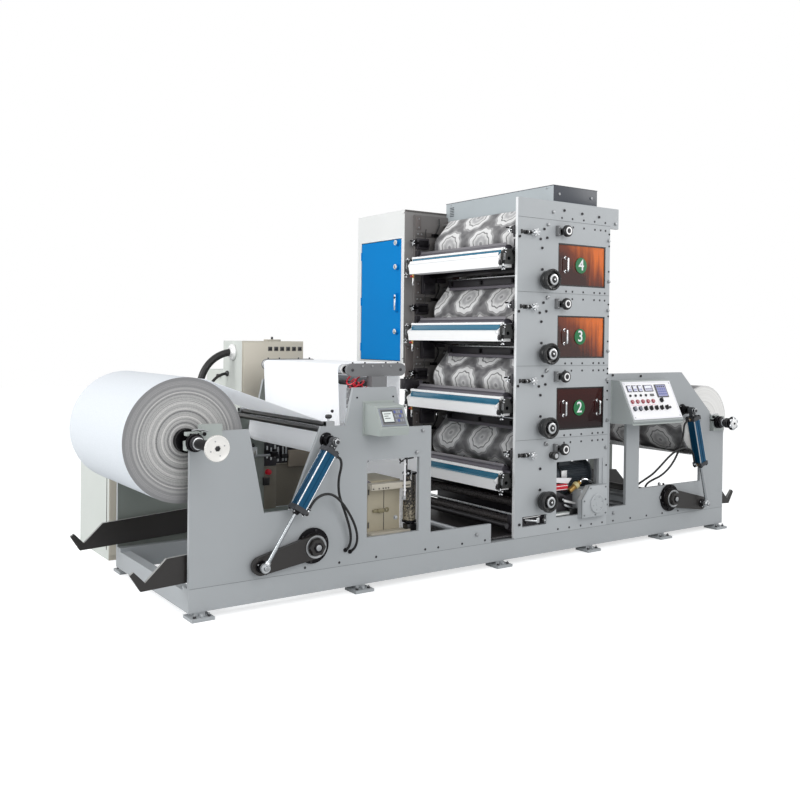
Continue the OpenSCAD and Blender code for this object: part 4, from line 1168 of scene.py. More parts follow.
def addOnFace(spot, across, down, lift0, lift1, edge=0.6):
    # a thin block on a sloping face between two pairs of face coordinates
    (a0, a1), (d0, d1) = across, down
    a = [spot(x, y, lift0) for x, y in ((a0, d0), (a1, d0), (a1, d1), (a0, d1))]
    b = [spot(x, y, lift1) for x, y in ((a0, d0), (a1, d0), (a1, d1), (a0, d1))]
    mesh = bpy.data.meshes.new("facePlate")
    mesh.from_pydata([place(*p) for p in a + b], [],
                     [(0, 1, 2, 3), (7, 6, 5, 4), (0, 4, 5, 1), (1, 5, 6, 2), (2, 6, 7, 3), (3, 7, 4, 0)])
    piece = linked(bpy.data.objects.new("facePlate", mesh))
    editWhole()
    softEdges(piece, edge, 1)
    return piece


def addTensionBox():
    # tension controller let into the box's sloping face
    spot, out, size = onFace((-105, 1027), (-168, 905), 1010)
    parts = made([("boxEnamel", addOnFace, spot, across, down, -1, 3.5, 1.2)
                   for across, down in (((6, 184), (4, 12)), ((6, 184), (size - 12, size - 4)),
                                        ((6, 14), (12, size - 12)), ((176, 184), (12, size - 12)))])
    parts += made([
        ("greyPlastic", addOnFace, spot, (14, 176), (16, 120), -1, 6, 2.0),
        ("guideEnamel", addOnFace, spot, (20, 170), (22, 114), 5.8, 7.4, 0.8),
        ("keyDark", addOnFace, spot, (27, 102), (30, 104), 7.2, 8.4, 0.5),
        ("displayGlass", addOnFace, spot, (32, 97), (37, 97), 8.2, 8.9, 0.3)])
    parts += made([("keyDark", addOnFace, spot, (40, 40 + (44, 26, 36)[row]), (48 + 13 * row, 52 + 13 * row), 8.8,
                    9.1, 0.0) for row in range(3)])
    for row in range(3):
        for column in range(4):
            x0, y0 = 108 + 15 * column, 32 + 25 * row
            tone = "bluePlastic" if (row + column) % 3 == 0 else "greyPlastic"
            parts.append(coloured(addOnFace(spot, (x0, x0 + 11), (y0, y0 + 16), 7.2, 9, 0.5), tone))
    # mounting flange on the frame and cable gland below
    parts.append(coloured(joined(ringOf((1000, 858, 1210, 1050), (1011, 869, 1199, 1039), -3, 0.2, 0.8)),
                          "boxEnamel"))
    parts += made([("zincSteel", addTurned, [(0, 0), (3.6, 0), (3.6, 1.6), (2.4, 2.6), (0, 2.6)], (x, -3, z), 12)
                   for x, z in ((1005.5, 864), (1204.5, 864), (1005.5, 1044), (1204.5, 1044))])
    finish(joined(parts), "tensionDisplay", None)


plastic("keyDark", "#24262e", 0.35)
plastic("displayGlass", "#dfe6e4", 0.12, coat=0.5)
addTensionBox()
print("tension box dressed")


desk = {"x": 3002, "meters": (24, 78, 132), "buttons": 5, "pitch": 52}


def addFaceDial(spot, out, across, down, radius, height):
    return addTurned([(0, 0), (radius, 0), (radius, height * 0.4), (radius * 0.82, height * 0.55),
                      (radius * 0.82, height), (0, height)], spot(across, down, 5.2), 20, out)


def addDesk():
    spot, out, size = onFace((-72, 1129), (-199, 863), desk["x"])
    pitch = desk["pitch"]
    # white border with its screws
    parts = made([("greyWhite", addOnFace, spot, across, down, 4.5, 7.4, 0.8)
                   for across, down in (((0, 486), (12, 22)), ((0, 486), (size - 22, size - 12)),
                                        ((0, 10), (22, size - 22)), ((476, 486), (22, size - 22)))])
    # three narrow meters, one wide counter and the keypad
    for x0 in desk["meters"]:
        parts += made([
            ("keyDark", addOnFace, spot, (x0, x0 + 44), (38, 86), 5, 9, 1.5),
            ("paleLilac", addOnFace, spot, (x0 + 9, x0 + 41), (42, 82), 8.8, 10, 0.6),
            ("displayGlass", addOnFace, spot, (x0 + 14, x0 + 36), (48, 60), 9.8, 10.4, 0.3)])
        parts += made([("bluePlastic", addOnFace, spot, (x0 + 14 + 8 * k, x0 + 19 + 8 * k), (68, 74), 9.8, 10.8, 0.3)
                       for k in range(3)])
    parts += made([
        ("keyDark", addOnFace, spot, (192, 284), (38, 86), 5, 9, 1.5),
        ("paleLilac", addOnFace, spot, (202, 274), (43, 81), 8.8, 10, 0.6)])
    parts += made([("keyDark", addOnFace, spot, (210 + 13 * k, 217 + 13 * k), (64, 72), 9.8, 10.8, 0.3)
                   for k in range(5)])
    parts += made([
        ("displayGlass", addOnFace, spot, (208, 262), (48, 58), 9.8, 10.4, 0.3),
        ("keyDark", addOnFace, spot, (306, 424), (36, 132), 5, 9, 2.0),
        ("greyBlue", addOnFace, spot, (320, 414), (42, 124), 8.8, 10, 0.8)])
    for row in range(4):
        for column in range(4):
            x0, y0 = 328 + 21 * column, 48 + 18 * row
            parts.append(coloured(addOnFace(spot, (x0, x0 + 14), (y0, y0 + 11), 9.8, 11.2, 0.5), "bluePlastic" if row
                                  else "keyDark"))
    # signal lamps, push buttons and turn switches with their plates
    for k in range(4):
        parts += made([
            ("blackPlastic", addFaceDial, spot, out, 36 + pitch * k, 112, 9.5, 7),
            ("keyDark", addTurned, [(0, 0), (6, 0), (5, 3), (0, 4)], spot(36 + pitch * k, 112, 12), 16, out)])
    parts.append(coloured(addOnFace(spot, (236, 272), (104, 120), 5, 12, 2.0), "blackPlastic"))
    for k in range(desk["buttons"]):
        parts += made([
            ("darkRed", addFaceDial, spot, out, 36 + pitch * k, 156, 15, 10),
            ("palePink", addOnFace, spot, (14 + pitch * k, 58 + pitch * k), (178, 184), 5, 6, 0.2)])
    for k, across in enumerate((318, 24, 78, 132, 186, 240, 294, 348)):
        down = 152 if k == 0 else 206
        parts += made([
            ("keyDark", addFaceDial, spot, out, across + 14, down, 17, 6),
            ("greyPlastic" if k in (1, 2) else "blackPlastic", addFaceDial, spot, out, across + 14, down, 13, 12)])
        grip = addOnFace(spot, (across + 10, across + 18), (down - 15, down + 15), 12, 24, 1.5)
        parts.append(coloured(grip, "blackPlastic" if k not in (1, 2) else "greyPlastic"))
    parts.append(coloured(addFaceDial(spot, out, 396, 206, 9, 8), "keyDark"))
    parts += made([("zincSteel", addTurned, [(0, 0), (4.5, 0), (4.5, 1.4), (3, 2.6), (0, 2.6)],
                    spot(across, down, 5.2), 14, out)
                   for across, down in ((16, 28), (470, 28), (16, size - 28), (470, size - 28))])
    # folded lip under the desk and a seam down its side
    parts.append(coloured(addBlock((2990, -196, 838), (3500, -186, 848), 2), "boxEnamel"))
    parts += made([("boxEnamel", addBlock, (x - 1.2, -8, 842), (x + 1.2, 0, 1128), 0.6) for x in (2990, 3500)])
    finish(joined(parts), "deskControls", None)


plastic("greyWhite", "#e9e9ee", 0.35)
plastic("paleLilac", "#cfcfe6", 0.35)
plastic("greyBlue", "#8d8fbc", 0.35)
plastic("darkRed", "#8f1830", 0.28, coat=0.3)
plastic("palePink", "#f2cfd8", 0.4)
addDesk()
print("desk dressed")


guide = {"rollers": (930, 1290), "height": 1222}


def addGuideTrim():
    parts = []
    # pale bearing caps on the arms' round ends, with screws; rounded edge along each arm
    for x in guide["rollers"]:
        parts += made([(tone, addTurned, [(10.2, 0), (r - 1, 0), (r, 1), (r, 6), (r - 1, 7), (10.2, 7)],
                        (x, y, guide["height"]), 40)
                       for y, r, tone in ((98, 27.5, "brightSteel"), (90, 24, "blackSteel"), (82, 27, "whiteSteel"),
                                          (72, 20, "blackSteel"))])
        parts.append(coloured(addTurned([(0, 0), (9, 0), (9, 3), (7, 4), (0, 4)],
                                        (x + (23 if x < 1000 else -15), 33, 1220), 6), "darkSteel"))
    parts += made([("zincSteel", addTurned, [(0, 0), (6, 0), (6, 5), (5, 6), (3, 6), (3, 3), (0, 3)], (x, 33, 1241),
                    16) for x in (1018, 1082, 1148, 1206)])
    parts += made([("darkSteel", addTurned, [(0, 0), (5, 0), (5, 5), (4, 8), (0, 8)], (x, 44, 1256), 14, upward)
                   for x in (960, 1040, 1180, 1262)])
    near = joined(parts)
    return [near, mirrored(near)]


def addCoil(start, end, radius, turns, thickness):
    # a coiled air hose between two points
    a, b = Vector(start), Vector(end)
    line = (b - a).normalized()
    side = line.cross(Vector((0, 1, 0))).normalized()
    up = side.cross(line)
    points = []
    for i in range(turns * 10 + 1):
        t = i / (turns * 10)
        turn = 2 * math.pi * turns * t
        p = a + (b - a) * t + side * radius * math.cos(turn) + up * radius * math.sin(turn)
        points.append(tuple(p))
    return addTube(points, thickness, 8, 0)


def addGuideDrive():
    # edge sensor fork, actuator and its red air hose under the web guide
    parts = made([
        ("blackEnamel", addBlock, (1078, 60, 1126), (1142, 150, 1148), 3),
        ("darkSteel", addRod, (1110, 150, 1137), (1110, 420, 1137), 17, 28, 2),
        ("brightSteel", addRod, (1110, 420, 1137), (1110, 470, 1137), 11, 20, 1),
        ("darkSteel", addBlock, (968, 74, 1118), (1052, 116, 1150), 3),
        ("redPlastic", addBlock, (980, 64, 1128), (996, 74, 1144), 1.5),
        ("redHose", addCoil, (952, 66, 1168), (1022, 72, 1112), 26, 3, 4.2),
        ("redHose", addCoil, (1012, 76, 1160), (1066, 80, 1120), 24, 2, 4.2),
        ("redHose", addTube, [(1012, 70, 1120), (996, 62, 1080), (960, 56, 1090), (944, 50, 1120), (950, 44, 1060),
         (958, 40, 990)], 3.6, 8, 5),
        ("hoseRubber", addTube, [(1142, 100, 1137), (1190, 90, 1120), (1220, 60, 1060), (1226, 40, 1000)], 4, 8, 6),
        ("guideEnamel", addBlock, (930, 28, 1010), (948, 60, 1120), 2)])
    parts += made([("zincSteel", addTurned, [(0, 0), (7, 0), (7, 4), (5, 6), (0, 6)], (930, 44, z), 16, toLeft)
                   for z in (1026, 1060, 1100)])
    return joined(parts)


plastic("redHose", "#d3142c", 0.3, coat=0.3)
finish(joined(addGuideTrim() + [addGuideDrive()]), "webGuideTrim", None)
# roller ends: stepped collars on the guide rollers near the web's edges
collars = made([("zincSteel", addTurned, [(10.2, 0), (r - 4, 0), (r - 1, 2), (r - 1, 8), (r - 6, 11), (16, 12),
                  (16, 20), (10.2, 21)], (x, 87.6, z), 36)
                 for x, z, r in ((930, 1222, 28), (1290, 1222, 28), (860, 806, 60), (1342.6, 865, 22),
                                 (1437.4, 740, 22))])
collars = joined(collars)
finish(bothSides(collars), "rollerCollars", None)
# two glossy bars at the infeed, each with a round knob
enamel("barEnamel", "#211f1f", "#181717", 0.3, gloss=0.25)
bars = []
for x, z, r in ((795, 926, 14), (768, 899, 16)):
    start = 33.4 if z > 920 else 22
    bars.append(coloured(addTurned([(0, 0), (r - 2, 0), (r + 0.5, 2), (r + 0.5, 1112 - 2 * start - 2),
                                    (r - 2, 1112 - 2 * start), (0, 1112 - 2 * start)], (x, start, z), 40, toBack),
                                    "barEnamel"))
knob = addTurned([(0, 0), (11, 0), (16, 3), (19, 9), (19, 16), (15, 22), (0, 24)], (795, 20, 960), 32, upward)
knob = joined([coloured(knob, "blackPlastic"), coloured(addRod((795, 20, 944), (795, 20, 962), 6, 16), "brightSteel"),
               coloured(addBlock((770, 0.5, 920), (822, 33.5, 946.4), 2.5), "zincSteel")])
finish(joined(bars + [knob, mirrored(knob)]), "infeedBars", None)
print("web guide dressed")


# finishes inside the printing tower
enamel("innerGrey", "#6b6462", "#605a58", 0.5)
enamel("innerLilac", "#6f6b72", "#66626a", 0.45)
enamel("innerDark", "#29262b", "#201d22", 0.4)
enamel("stripEnamel", "#5b5856", "#504d4b", 0.5)
plastic("tealBlade", "#1c6c8a", 0.22, coat=0.4)
turnedSteel("lilacSteel", "#7d7b80", 0.34, metallic=0.3)


def addUnitHousing(top, isTop):
    # bearing slides, brackets and cable tray on the inner face of one side plate
    def housing(x0, z0, x1, z1, depth, tone, edge=2.0):
        return coloured(addBlock((x0, 22, top + z0), (x1, 22 + depth, top + z1), edge), tone)
    parts = [housing(2134, 14, 2180, 110, 4, "innerGrey", 1.0), housing(2134, -36, 2276, -1, 6, "stripEnamel", 1.0),
             housing(2134, -126, 2236, -50, 28, "innerDark"), housing(2146, -112, 2222, -64, 36, "blackSteel"),
             housing(2272, -28, 2324, -8, 24, "blackSteel"), housing(2166, -186, 2204, -137, 8, "innerLilac"),
             housing(2134, -196, 2166, -139, 22, "innerDark"), housing(2212, -194, 2230, -146, 20, "blackSteel"),
             housing(2240, -190, 2264, -152, 16, "blackSteel")]
    if not isTop:
        parts += [housing(2186, 19, 2302, 178, 26, "innerDark"), housing(2196, 40, 2290, 96, 32, "innerDark"),
                  housing(2306, 130, 2398, 176, 14, "innerLilac"), housing(2312, 104, 2392, 134, 30, "innerDark")]
    parts += made([("zincSteel", addTurned, [(0, 0), (5.5, 0), (5.5, 4), (4.5, 5), (2.4, 5), (2.4, 2.5), (0, 2.5)],
                    (x, 22 + (6 if z < 0 else 4), top + z), 14, toBack)
                   for x, z in ((2150, -18), (2182, -18), (2160, 92), (2160, 30))])
    # stepped journal caps where the cylinders run in their bearings
    parts += made([("blackSteel", addTurned, [(0, 0), (radius, 0), (radius, 10), (radius - 6, 14), (radius - 14, 14),
                    (radius - 14, 22), (0, 22)], (x, 22, top + z), 40, toBack)
                   for x, z, radius in ((2360, -112, 58), (2253.6, -263.8, 40), (2144.8, -212.6, 30))])
    # pipes that run down the plate behind the slides
    parts += made([
        ("hoseRubber", addTube, [(2330, 40, top + 104), (2334, 44, top + 60), (2320, 40, top + 20),
         (2300, 34, top - 20)], 5, 8, 5),
        ("hoseRubber", addTube, [(2206, 52, top + 18), (2202, 50, top - 6), (2208, 46, top - 30),
         (2204, 44, top - 52)], 4, 8, 5)])
    return parts


def addUnitCrossings(top, isTop):
    # drying box over the web with its bright edge, and strips under the plate cylinder
    parts = []
    if not isTop:
        parts += made([
            ("innerDark", addBlock, (2318, 44, top + 62), (2334, 934, top + 112), 2),
            ("brightSteel", addBlock, (2314, 44, top + 112), (2336, 934, top + 121), 1.5),
            ("innerLilac", addBlock, (2326, 44, top + 42), (2333, 934, top + 61), 1)])
        parts += made([("blackSteel", addBlock, (2306, y, top + 70), (2318, y + 16, top + 100), 1.5)
                       for y in (240, 560, 880)])
    # light guard in front of the plate cylinder, above the anilox roller
    parts += made([
        ("lilacSteel", addPlateShape, [(2124, top - 172), (2132, top - 155), (2134, top - 156), (2126, top - 173)],
         104, 1008, 0.4),
        # wiper blade of teal rubber, its holder and clips
        ("tealBlade", addPlateShape, [(2068, top - 203), (2071, top - 203), (2064, top - 238), (2061, top - 238)], 86,
         1026, 0.5),
        ("trayEnamel", addBlock, (2062, 82, top - 208), (2074, 1030, top - 195), 1.2)])
    if isTop:
        # the upper tray has a higher lip, which hides most of its wiper
        parts.append(coloured(addPlateShape([(2036, top - 250), (2039, top - 250), (2048, top - 225),
                                             (2045, top - 225)], 84, 1028, 0.4), "trayEnamel"))
    parts += made([("zincSteel", addTurned, [(0, 0), (4, 0), (4, 3), (3, 4), (0, 4)], (2081, y, top - 194.4), 12,
                    upward) for y in range(150, 1000, 140)])
    # folded lip along the tray's front edge and a seam near each end
    parts.append(coloured(addRod((2037, 84, top - 247), (2037, 1028, top - 247), 3, 10), "whiteEnamel"))
    parts += made([("whiteSteel", addPlateShape, [(2034.6, top - 249), (2048.5, top - 309), (2050, top - 309),
                    (2036, top - 249)], y - 4, y + 4, 0.4) for y in (90, 1022)])
    return parts


def addTrayLock(top):
    # clamp at the tray's end: black block, toggle with a bright star, spring and hand screw
    parts = made([
        ("blackPlastic", addBlock, (2040, 46, top - 306), (2050, 74, top - 272), 2),
        ("darkSteel", addBlock, (2030, 52, top - 300), (2041, 68, top - 280), 2),
        ("whitePlastic", addTurned, [(0, 0), (9, 0), (10, 1), (10, 5), (8, 6), (0, 6)], (2044, 78, top - 258), 24,
         toLeft)])
    for cx, cy, cz, reach in ((2060, 38, -214, 15), (2050, 36, -318, 17)):
        parts.append(coloured(addTurned([(0, 0), (8, 0), (8, 7), (6, 9), (0, 9)], (cx, cy, top + cz), 20, toLeft),
                              "blackSteel"))
        for by, bz in around(5, 15, reach, cy, top + cz):
            parts += made([
                ("brightSteel", addRod, (cx - 5, cy, top + cz), (cx - 5, by, bz), 3.2, 8),
                ("chromeSteel", addTurned, [(0, 0), (4.4, 0), (4.4, 5), (3.2, 7), (0, 7)], (cx - 1, by, bz), 10,
                 toLeft)])
    for i in range(6):
        z = top - 236 - 7 * i
        parts.append(coloured(addTurned([(4.6, -1.2), (7.2, -1.2), (7.2, 1.2), (4.6, 1.2)], (2052, 34, z), 12,
                                        upward), "zincSteel"))
    parts.append(coloured(addRod((2052, 34, top - 300), (2052, 34, top - 226), 4, 10), "blackSteel"))
    return parts


def addDrain(top):
    # drain valve under the tray's far end: red lever, brass body and a clear hose tail
    y = press["width"] - 98
    return [coloured(addRod((2062, y, top - 314), (2062, y, top - 342), 8, 6, 1), "brass"),
            coloured(addRod((2062, y, top - 340), (2062, y, top - 362), 6, 12, 1), "whiteSteel"),
            coloured(addBlock((2040, y - 6, top - 334), (2058, y + 6, top - 326), 2), "redPlastic"),
            coloured(addTube([(2062, y, top - 362), (2060, y + 2, top - 376), (2066, y + 6, top - 390),
                              (2072, y + 8, top - 384)], 4, 8, 5), "whiteSteel")]


def addInnerStar(top):
    # clamping screw's inner end beside the web, with a bright star
    x, y, z = 2106, 44, top - 84
    parts = made([
        ("blackSteel", addRod, (x - 6, y, z), (x + 40, y, z), 9, 20, 1),
        ("blackSteel", addRod, (x - 34, y, z + 12), (x + 24, y, z + 12), 5, 12, 1),
        ("darkSteel", addBlock, (x + 4, 22, z - 22), (x + 30, 40, z + 24), 2)])
    for cy, cz in around(5, 40, 17, y, z):
        parts += made([
            ("brightSteel", addRod, (x - 9, y, z), (x - 9, cy, cz), 3.2, 8),
            ("chromeSteel", addTurned, [(0, 0), (4.6, 0), (4.6, 6), (3.2, 8), (0, 8)], (x - 5, cy, cz), 10, toLeft)])
    return parts


inner, crossings, drains = [], [], []
for unit in units:
    top = unitTop(unit)
    inner += addUnitHousing(top, unit == 4) + addTrayLock(top) + addInnerStar(top)
    crossings += addUnitCrossings(top, unit == 4)
    drains += addDrain(top)
finish(bothSides(joined(inner)), "unitHousings", None)
finish(joined(crossings), "unitCrossings", None)
finish(joined(drains), "drainValves", None)
print("tower inside dressed")


def mottled(name, dark, light):
    # fine wire mesh with dust: small bright specks about 6 mm apart on a dark ground, lighter below
    add, shader, spot = newFinish(name)
    speck = add("TexNoise", {"Vector": spot, "Scale": 110.0, "Detail": 3.0})
    height = add("SeparateXYZ", {"Vector": spot}).outputs[2]
    height = add("MapRange", {"Value": height, "From Min": 0.34, "From Max": 0.5, "To Min": 0.16, "To Max": -0.06})
    level = add("Math", {0: speck, 1: height}, operation="ADD")
    level = add("MapRange", {"Value": level, "From Min": 0.48, "From Max": 0.72})
    tint = add("Mix", {0: level, 6: hexColour(dark), 7: hexColour(light)}, data_type="RGBA")
    connect(shader, {"Base Color": tint.outputs[2], "Roughness": 0.5})


def addBolt(x, y, z, radius=6.0, way=toFront):
    # socket screw's head, all sizes in step with its radius
    inner, low, high = radius * 0.42, radius * 0.35, radius * 0.7
    return addTurned([(0, 0), (radius, 0), (radius, radius * 0.5), (radius * 0.8, high), (inner, high), (inner, low),
                      (0, low)], (x, y, z), 14, way)


def addDuctTrim():
    # dark end cover with two bolts, thin dark lid and a vent grille on the left face
    top = press["crown"] + 223
    parts = made([
        ("ductEndEnamel", addBlock, (2430, -2, press["top"] + 2), (2826, 0.4, top - 1), 1.5),
        ("ductEndEnamel", addBlock, (2426, -3, top - 2), (2830, press["width"] + 3, top + 2), 1)])
    parts += made([("zincSteel", addBolt, x, -2, top - 54, 9) for x in (2478, 2772)])
    for i in range(6):
        z = press["crown"] + 126 + 12 * i
        parts.append(coloured(addBlock((2425, 1020, z), (2428.5, 1066, z + 5), 0.6), "ductEndEnamel"))
    parts += made([("zincSteel", addBolt, 2428, y, press["crown"] + 208, 5, toLeft) for y in (60, 1052)])
    return joined(parts)


enamel("seamDark", "#7f8385", "#777b7d", 0.5)
finish(addDuctTrim(), "ductTrim", None)
seams = [coloured(addBlock((2, -0.8, 153.4), (4223, 0.4, 155.4), 0), "seamDark")]
# joints between the stacked plates, and a white strip painted as the highlight on the tower's edge that looks towards
# the reels
seams += made([("seamDark", addBlock, (2132, -0.7, unitTop(unit) - 1.4), (2958, 0.4, unitTop(unit) + 0.8), 0)
               for unit in units])
seams += made([("blackSteel", addBolt, 2951, 0, z, 6)
               for z in (1209, 1176, 1140, 1115, 1060, 1000, 681, 560, 354, 293, 1392, 1560, 1640, 1860, 2030, 2110)])
seams += made([
    ("blackPlastic", addTurned, [(0, 0), (20, 0), (22, 2), (22, 12), (16, 16), (16, 30), (27, 32), (27, 44),
     (22, 48), (0, 48)], (2440, 0, 659), 32),
    ("brightSteel", addTurned, [(0, 0), (15, 0), (15, 2), (0, 2)], (2440, -47.6, 659), 24)])
seams += made([("blackSteel", addBolt, x, 0, z, 5) for x, z in ((1203, 1070), (963, 1070))])
# folded stiffener down the right side of unit 1's window
seams += made([
    ("towerEnamel", addBlock, (2896, 22, 300), (2903, 60, 612), 1),
    ("towerEnamel", addBlock, (2914, -6, 300), (2921, 0, 612), 1.5)])
near = joined(seams)
# painted highlight: a white strip along the near tower plate's edge
edgeHighlight = coloured(addBlock((2129.2, 0.6, 160), (2130.4, 21.4, 2284), 0), "whiteEnamel")
finish(joined([near, mirrored(near), edgeHighlight]), "frameSeams", None)
# two bolts through each levelling foot, with nuts
feet = []
for x in (60, 1000, 2020, 2805, 3534, 4165):
    for dx in (-38, 38):
        feet += made([
            ("darkSteel", addRod, (x + dx, -22, 15), (x + dx, -22, 25), 9, 6, 1),
            ("zincSteel", addRod, (x + dx, -22, 24), (x + dx, -22, 34), 5, 12, 1)])
    feet.append(coloured(addBlock((x - 6, -30, 15.5), (x + 6, 2, 30), 2), "baseEnamel"))
finish(bothSides(joined(feet)), "footBolts", None)
print("seams, duct and feet dressed")


def addDrive():
    # motor: fan cowl rings, name plate without text, terminal box lid, eye bolt
    y, z = 190, 490
    parts = made([
        ("motorEnamel", addTurned, [(0, 0), (62, 0), (76, 4), (79, 12), (79, 40), (76, 42), (0, 42)], (2638, y, z),
         48, toLeft),
        ("blackEnamel", addTurned, [(76, 0), (82, 0), (83, 2), (83, 10), (76, 12)], (2646, y, z), 48, toLeft),
        ("motorEnamel", addTurned, [(60, 0), (96, 0), (98, 3), (98, 14), (60, 16)], (2922, y, z), 48, toLeft),
        ("motorEnamel", addBlock, (2664, 146, z + 96), (2756, 234, z + 108), 3),
        ("whiteSteel", addBlock, (2640, 104, z - 10), (2690, 112, z + 40), 1.5),
        ("blackEnamel", addTurned, [(8, -5), (14, -5), (17, 0), (14, 5), (8, 5)], (2800, y, z + 92), 24, toBack)])
    parts += made([("blackEnamel", addTurned, [(14 + 10 * i, 0), (18 + 10 * i, 0), (18 + 10 * i, 1.6),
                    (14 + 10 * i, 1.6)], (2596.6, y, z), 40, toLeft) for i in range(5)])
    # white guard, red roller, brass joint and bright elbow beside the motor
    parts += made([
        ("whitePlastic", addPlateShape, [(2494, 500), (2700, 482), (2668, 448), (2494, 470)], 70, 74, 0.5),
        ("redPlastic", addTurned, [(0, 0), (20, 0), (22, 2), (22, 158), (20, 160), (0, 160)], (2494, 78, 428), 36,
         toRight),
        ("brightSteel", addRod, (2488, 78, 428), (2668, 78, 428), 8, 20)])
    parts += made([("whiteSteel", addRod, (2496, 58, 428 + dz), (2652, 58, 428 + dz), 2.4, 8) for dz in (-13, 11)])
    parts += made([
        ("brass", addRod, (2656, 50, 402), (2700, 44, 430), 20, 6, 2),
        ("innerBrass", addRod, (2700, 44, 430), (2722, 41, 444), 24, 28, 2),
        ("brass", addRod, (2722, 41, 444), (2742, 38, 456), 18, 6, 2),
        ("chromeSteel", addTube, [(2742, 38, 456), (2762, 36, 472), (2800, 36, 470), (2840, 36, 454),
         (2884, 36, 430)], 7, 12, 6),
        ("blackPlastic", addTurned, [(8, -6), (16, -6), (18, 0), (16, 6), (8, 6)], (2762, 36, 474), 28,
         toBack),
        # dark gear case under the motor with bright link bars
        ("innerDark", addPlateShape, [(2500, 262), (2500, 392), (2560, 404), (2640, 372), (2700, 380), (2700, 262)],
         60, 96, 3),
        ("whiteSteel", addPlateShape, [(2606, 352), (2716, 322), (2716, 308), (2606, 336)], 44, 56, 1.5),
        ("brightSteel", addPlateShape, [(2606, 322), (2738, 272), (2738, 258), (2606, 310)], 40, 54, 1.5)])
    for x, r in ((2540, 30), (2596, 22)):
        parts += made([
            ("blackSteel", addTurned, [(0, 0), (r, 0), (r, 6), (r - 5, 9), (r - 11, 9), (r - 11, 4), (8, 4), (8, 12),
             (0, 12)], (x, 60, 352), 36),
            ("brightSteel", addBolt, x, 47, 352, 7)])
    parts += made([
        ("boxEnamel", addBlock, (2496, 26, 252), (2640, 60, 272), 2),
        ("whiteSteel", addBlock, (2500, 24, 256), (2632, 26.4, 266), 1),
        ("blackPlastic", addBlock, (2640, 26, 252), (2740, 80, 286), 3)])
    return joined(parts)


def addLowerWorks():
    # under the first unit: a dark shield in front of the rising web that stands in for the shade there, dark rollers,
    # bright tie rod, and the mechanism behind the small opening, with a dark box behind it as painted shade
    parts = made([
        # painted shade: a dark sheet across the press where the space under the first unit lies in shade
        ("innerDark", addBlock, (2330, 60, 186), (2334, 1052, 520), 1),
        ("blackSteel", addRod, (2236, 24, 420), (2236, 1088, 420), 34, 40),
        ("rollerDark", addRod, (2300, 24, 340), (2300, 1088, 340), 28, 40),
        ("brightSteel", addRod, (2150, 24, 300), (2150, 1088, 300), 9, 20),
        ("darkSteel", addRod, (2090, 24, 236), (2090, 1088, 236), 16, 28),
        ("rollerDark", addRod, (2190, 24, 250), (2190, 1088, 250), 24, 32),
        # painted shade: a dark box behind the small opening
        ("innerDark", addBlock, (2126, 24, 196), (2418, 60, 300), 2),
        ("brightSteel", addRod, (2226, 12, 262), (2330, 12, 244), 7, 12),
        ("darkSteel", addRod, (2240, 16, 240), (2300, 16, 268), 6, 12),
        ("brightSteel", addBlock, (2326, 6, 232), (2352, 24, 266), 3),
        ("blackPlastic", addTurned, [(0, 0), (13, 0), (15, 2), (15, 10), (9, 14), (0, 14)], (2384, 8, 247), 28),
        ("brightSteel", addTurned, [(0, 0), (7, 0), (7, 3), (0, 4)], (2384, -6, 247), 20),
        ("whiteSteel", addRod, (2212, 10, 274), (2360, 10, 276), 3, 8)])
    return joined(parts)


def addGearboxTrim():
    # raised cover, ring and bolts in the frame's paint, dark gasket behind
    parts = made([
        ("towerEnamel", addPlateShape, [(2690, 235), (2690, 351), (2758, 437), (2918, 437), (2918, 235)], -43, -39.5,
         2),
        ("seamDark", addPlateShape, [(2686, 231), (2686, 353), (2756, 441), (2922, 441), (2922, 231)], -37, -33, 0.6),
        ("towerEnamel", addTurned, [(50, 0), (62, 0), (64, 1.5), (64, 9), (60, 12), (50, 12)], (2822, -42, 320), 56),
        ("towerEnamel", addTurned, [(0, 0), (50, 0), (50, 8), (20, 9), (18, 12), (0, 12)], (2822, -42, 320), 56)])
    parts += made([("seamDark", addBolt, x, -43, z, 6)
                   for x, z in ((2704, 250), (2704, 344), (2762, 424), (2904, 424), (2904, 250), (2808, 246),
                                (2904, 340))])
    parts += made([("seamDark", addBolt, bx, -50, bz, 4) for bx, bz in around(6, 15, 42, 2822, 320)])
    return joined(parts)


mottled("rollerDark", "#1c1a1b", "#5f5a5a")
finish(addLowerWorks(), "lowerWorks", None)
plastic("innerBrass", "#c9bd8a", 0.35)
finish(addDrive(), "driveTrim", None)
finish(addGearboxTrim(), "gearboxTrim", None)
print("drive dressed")


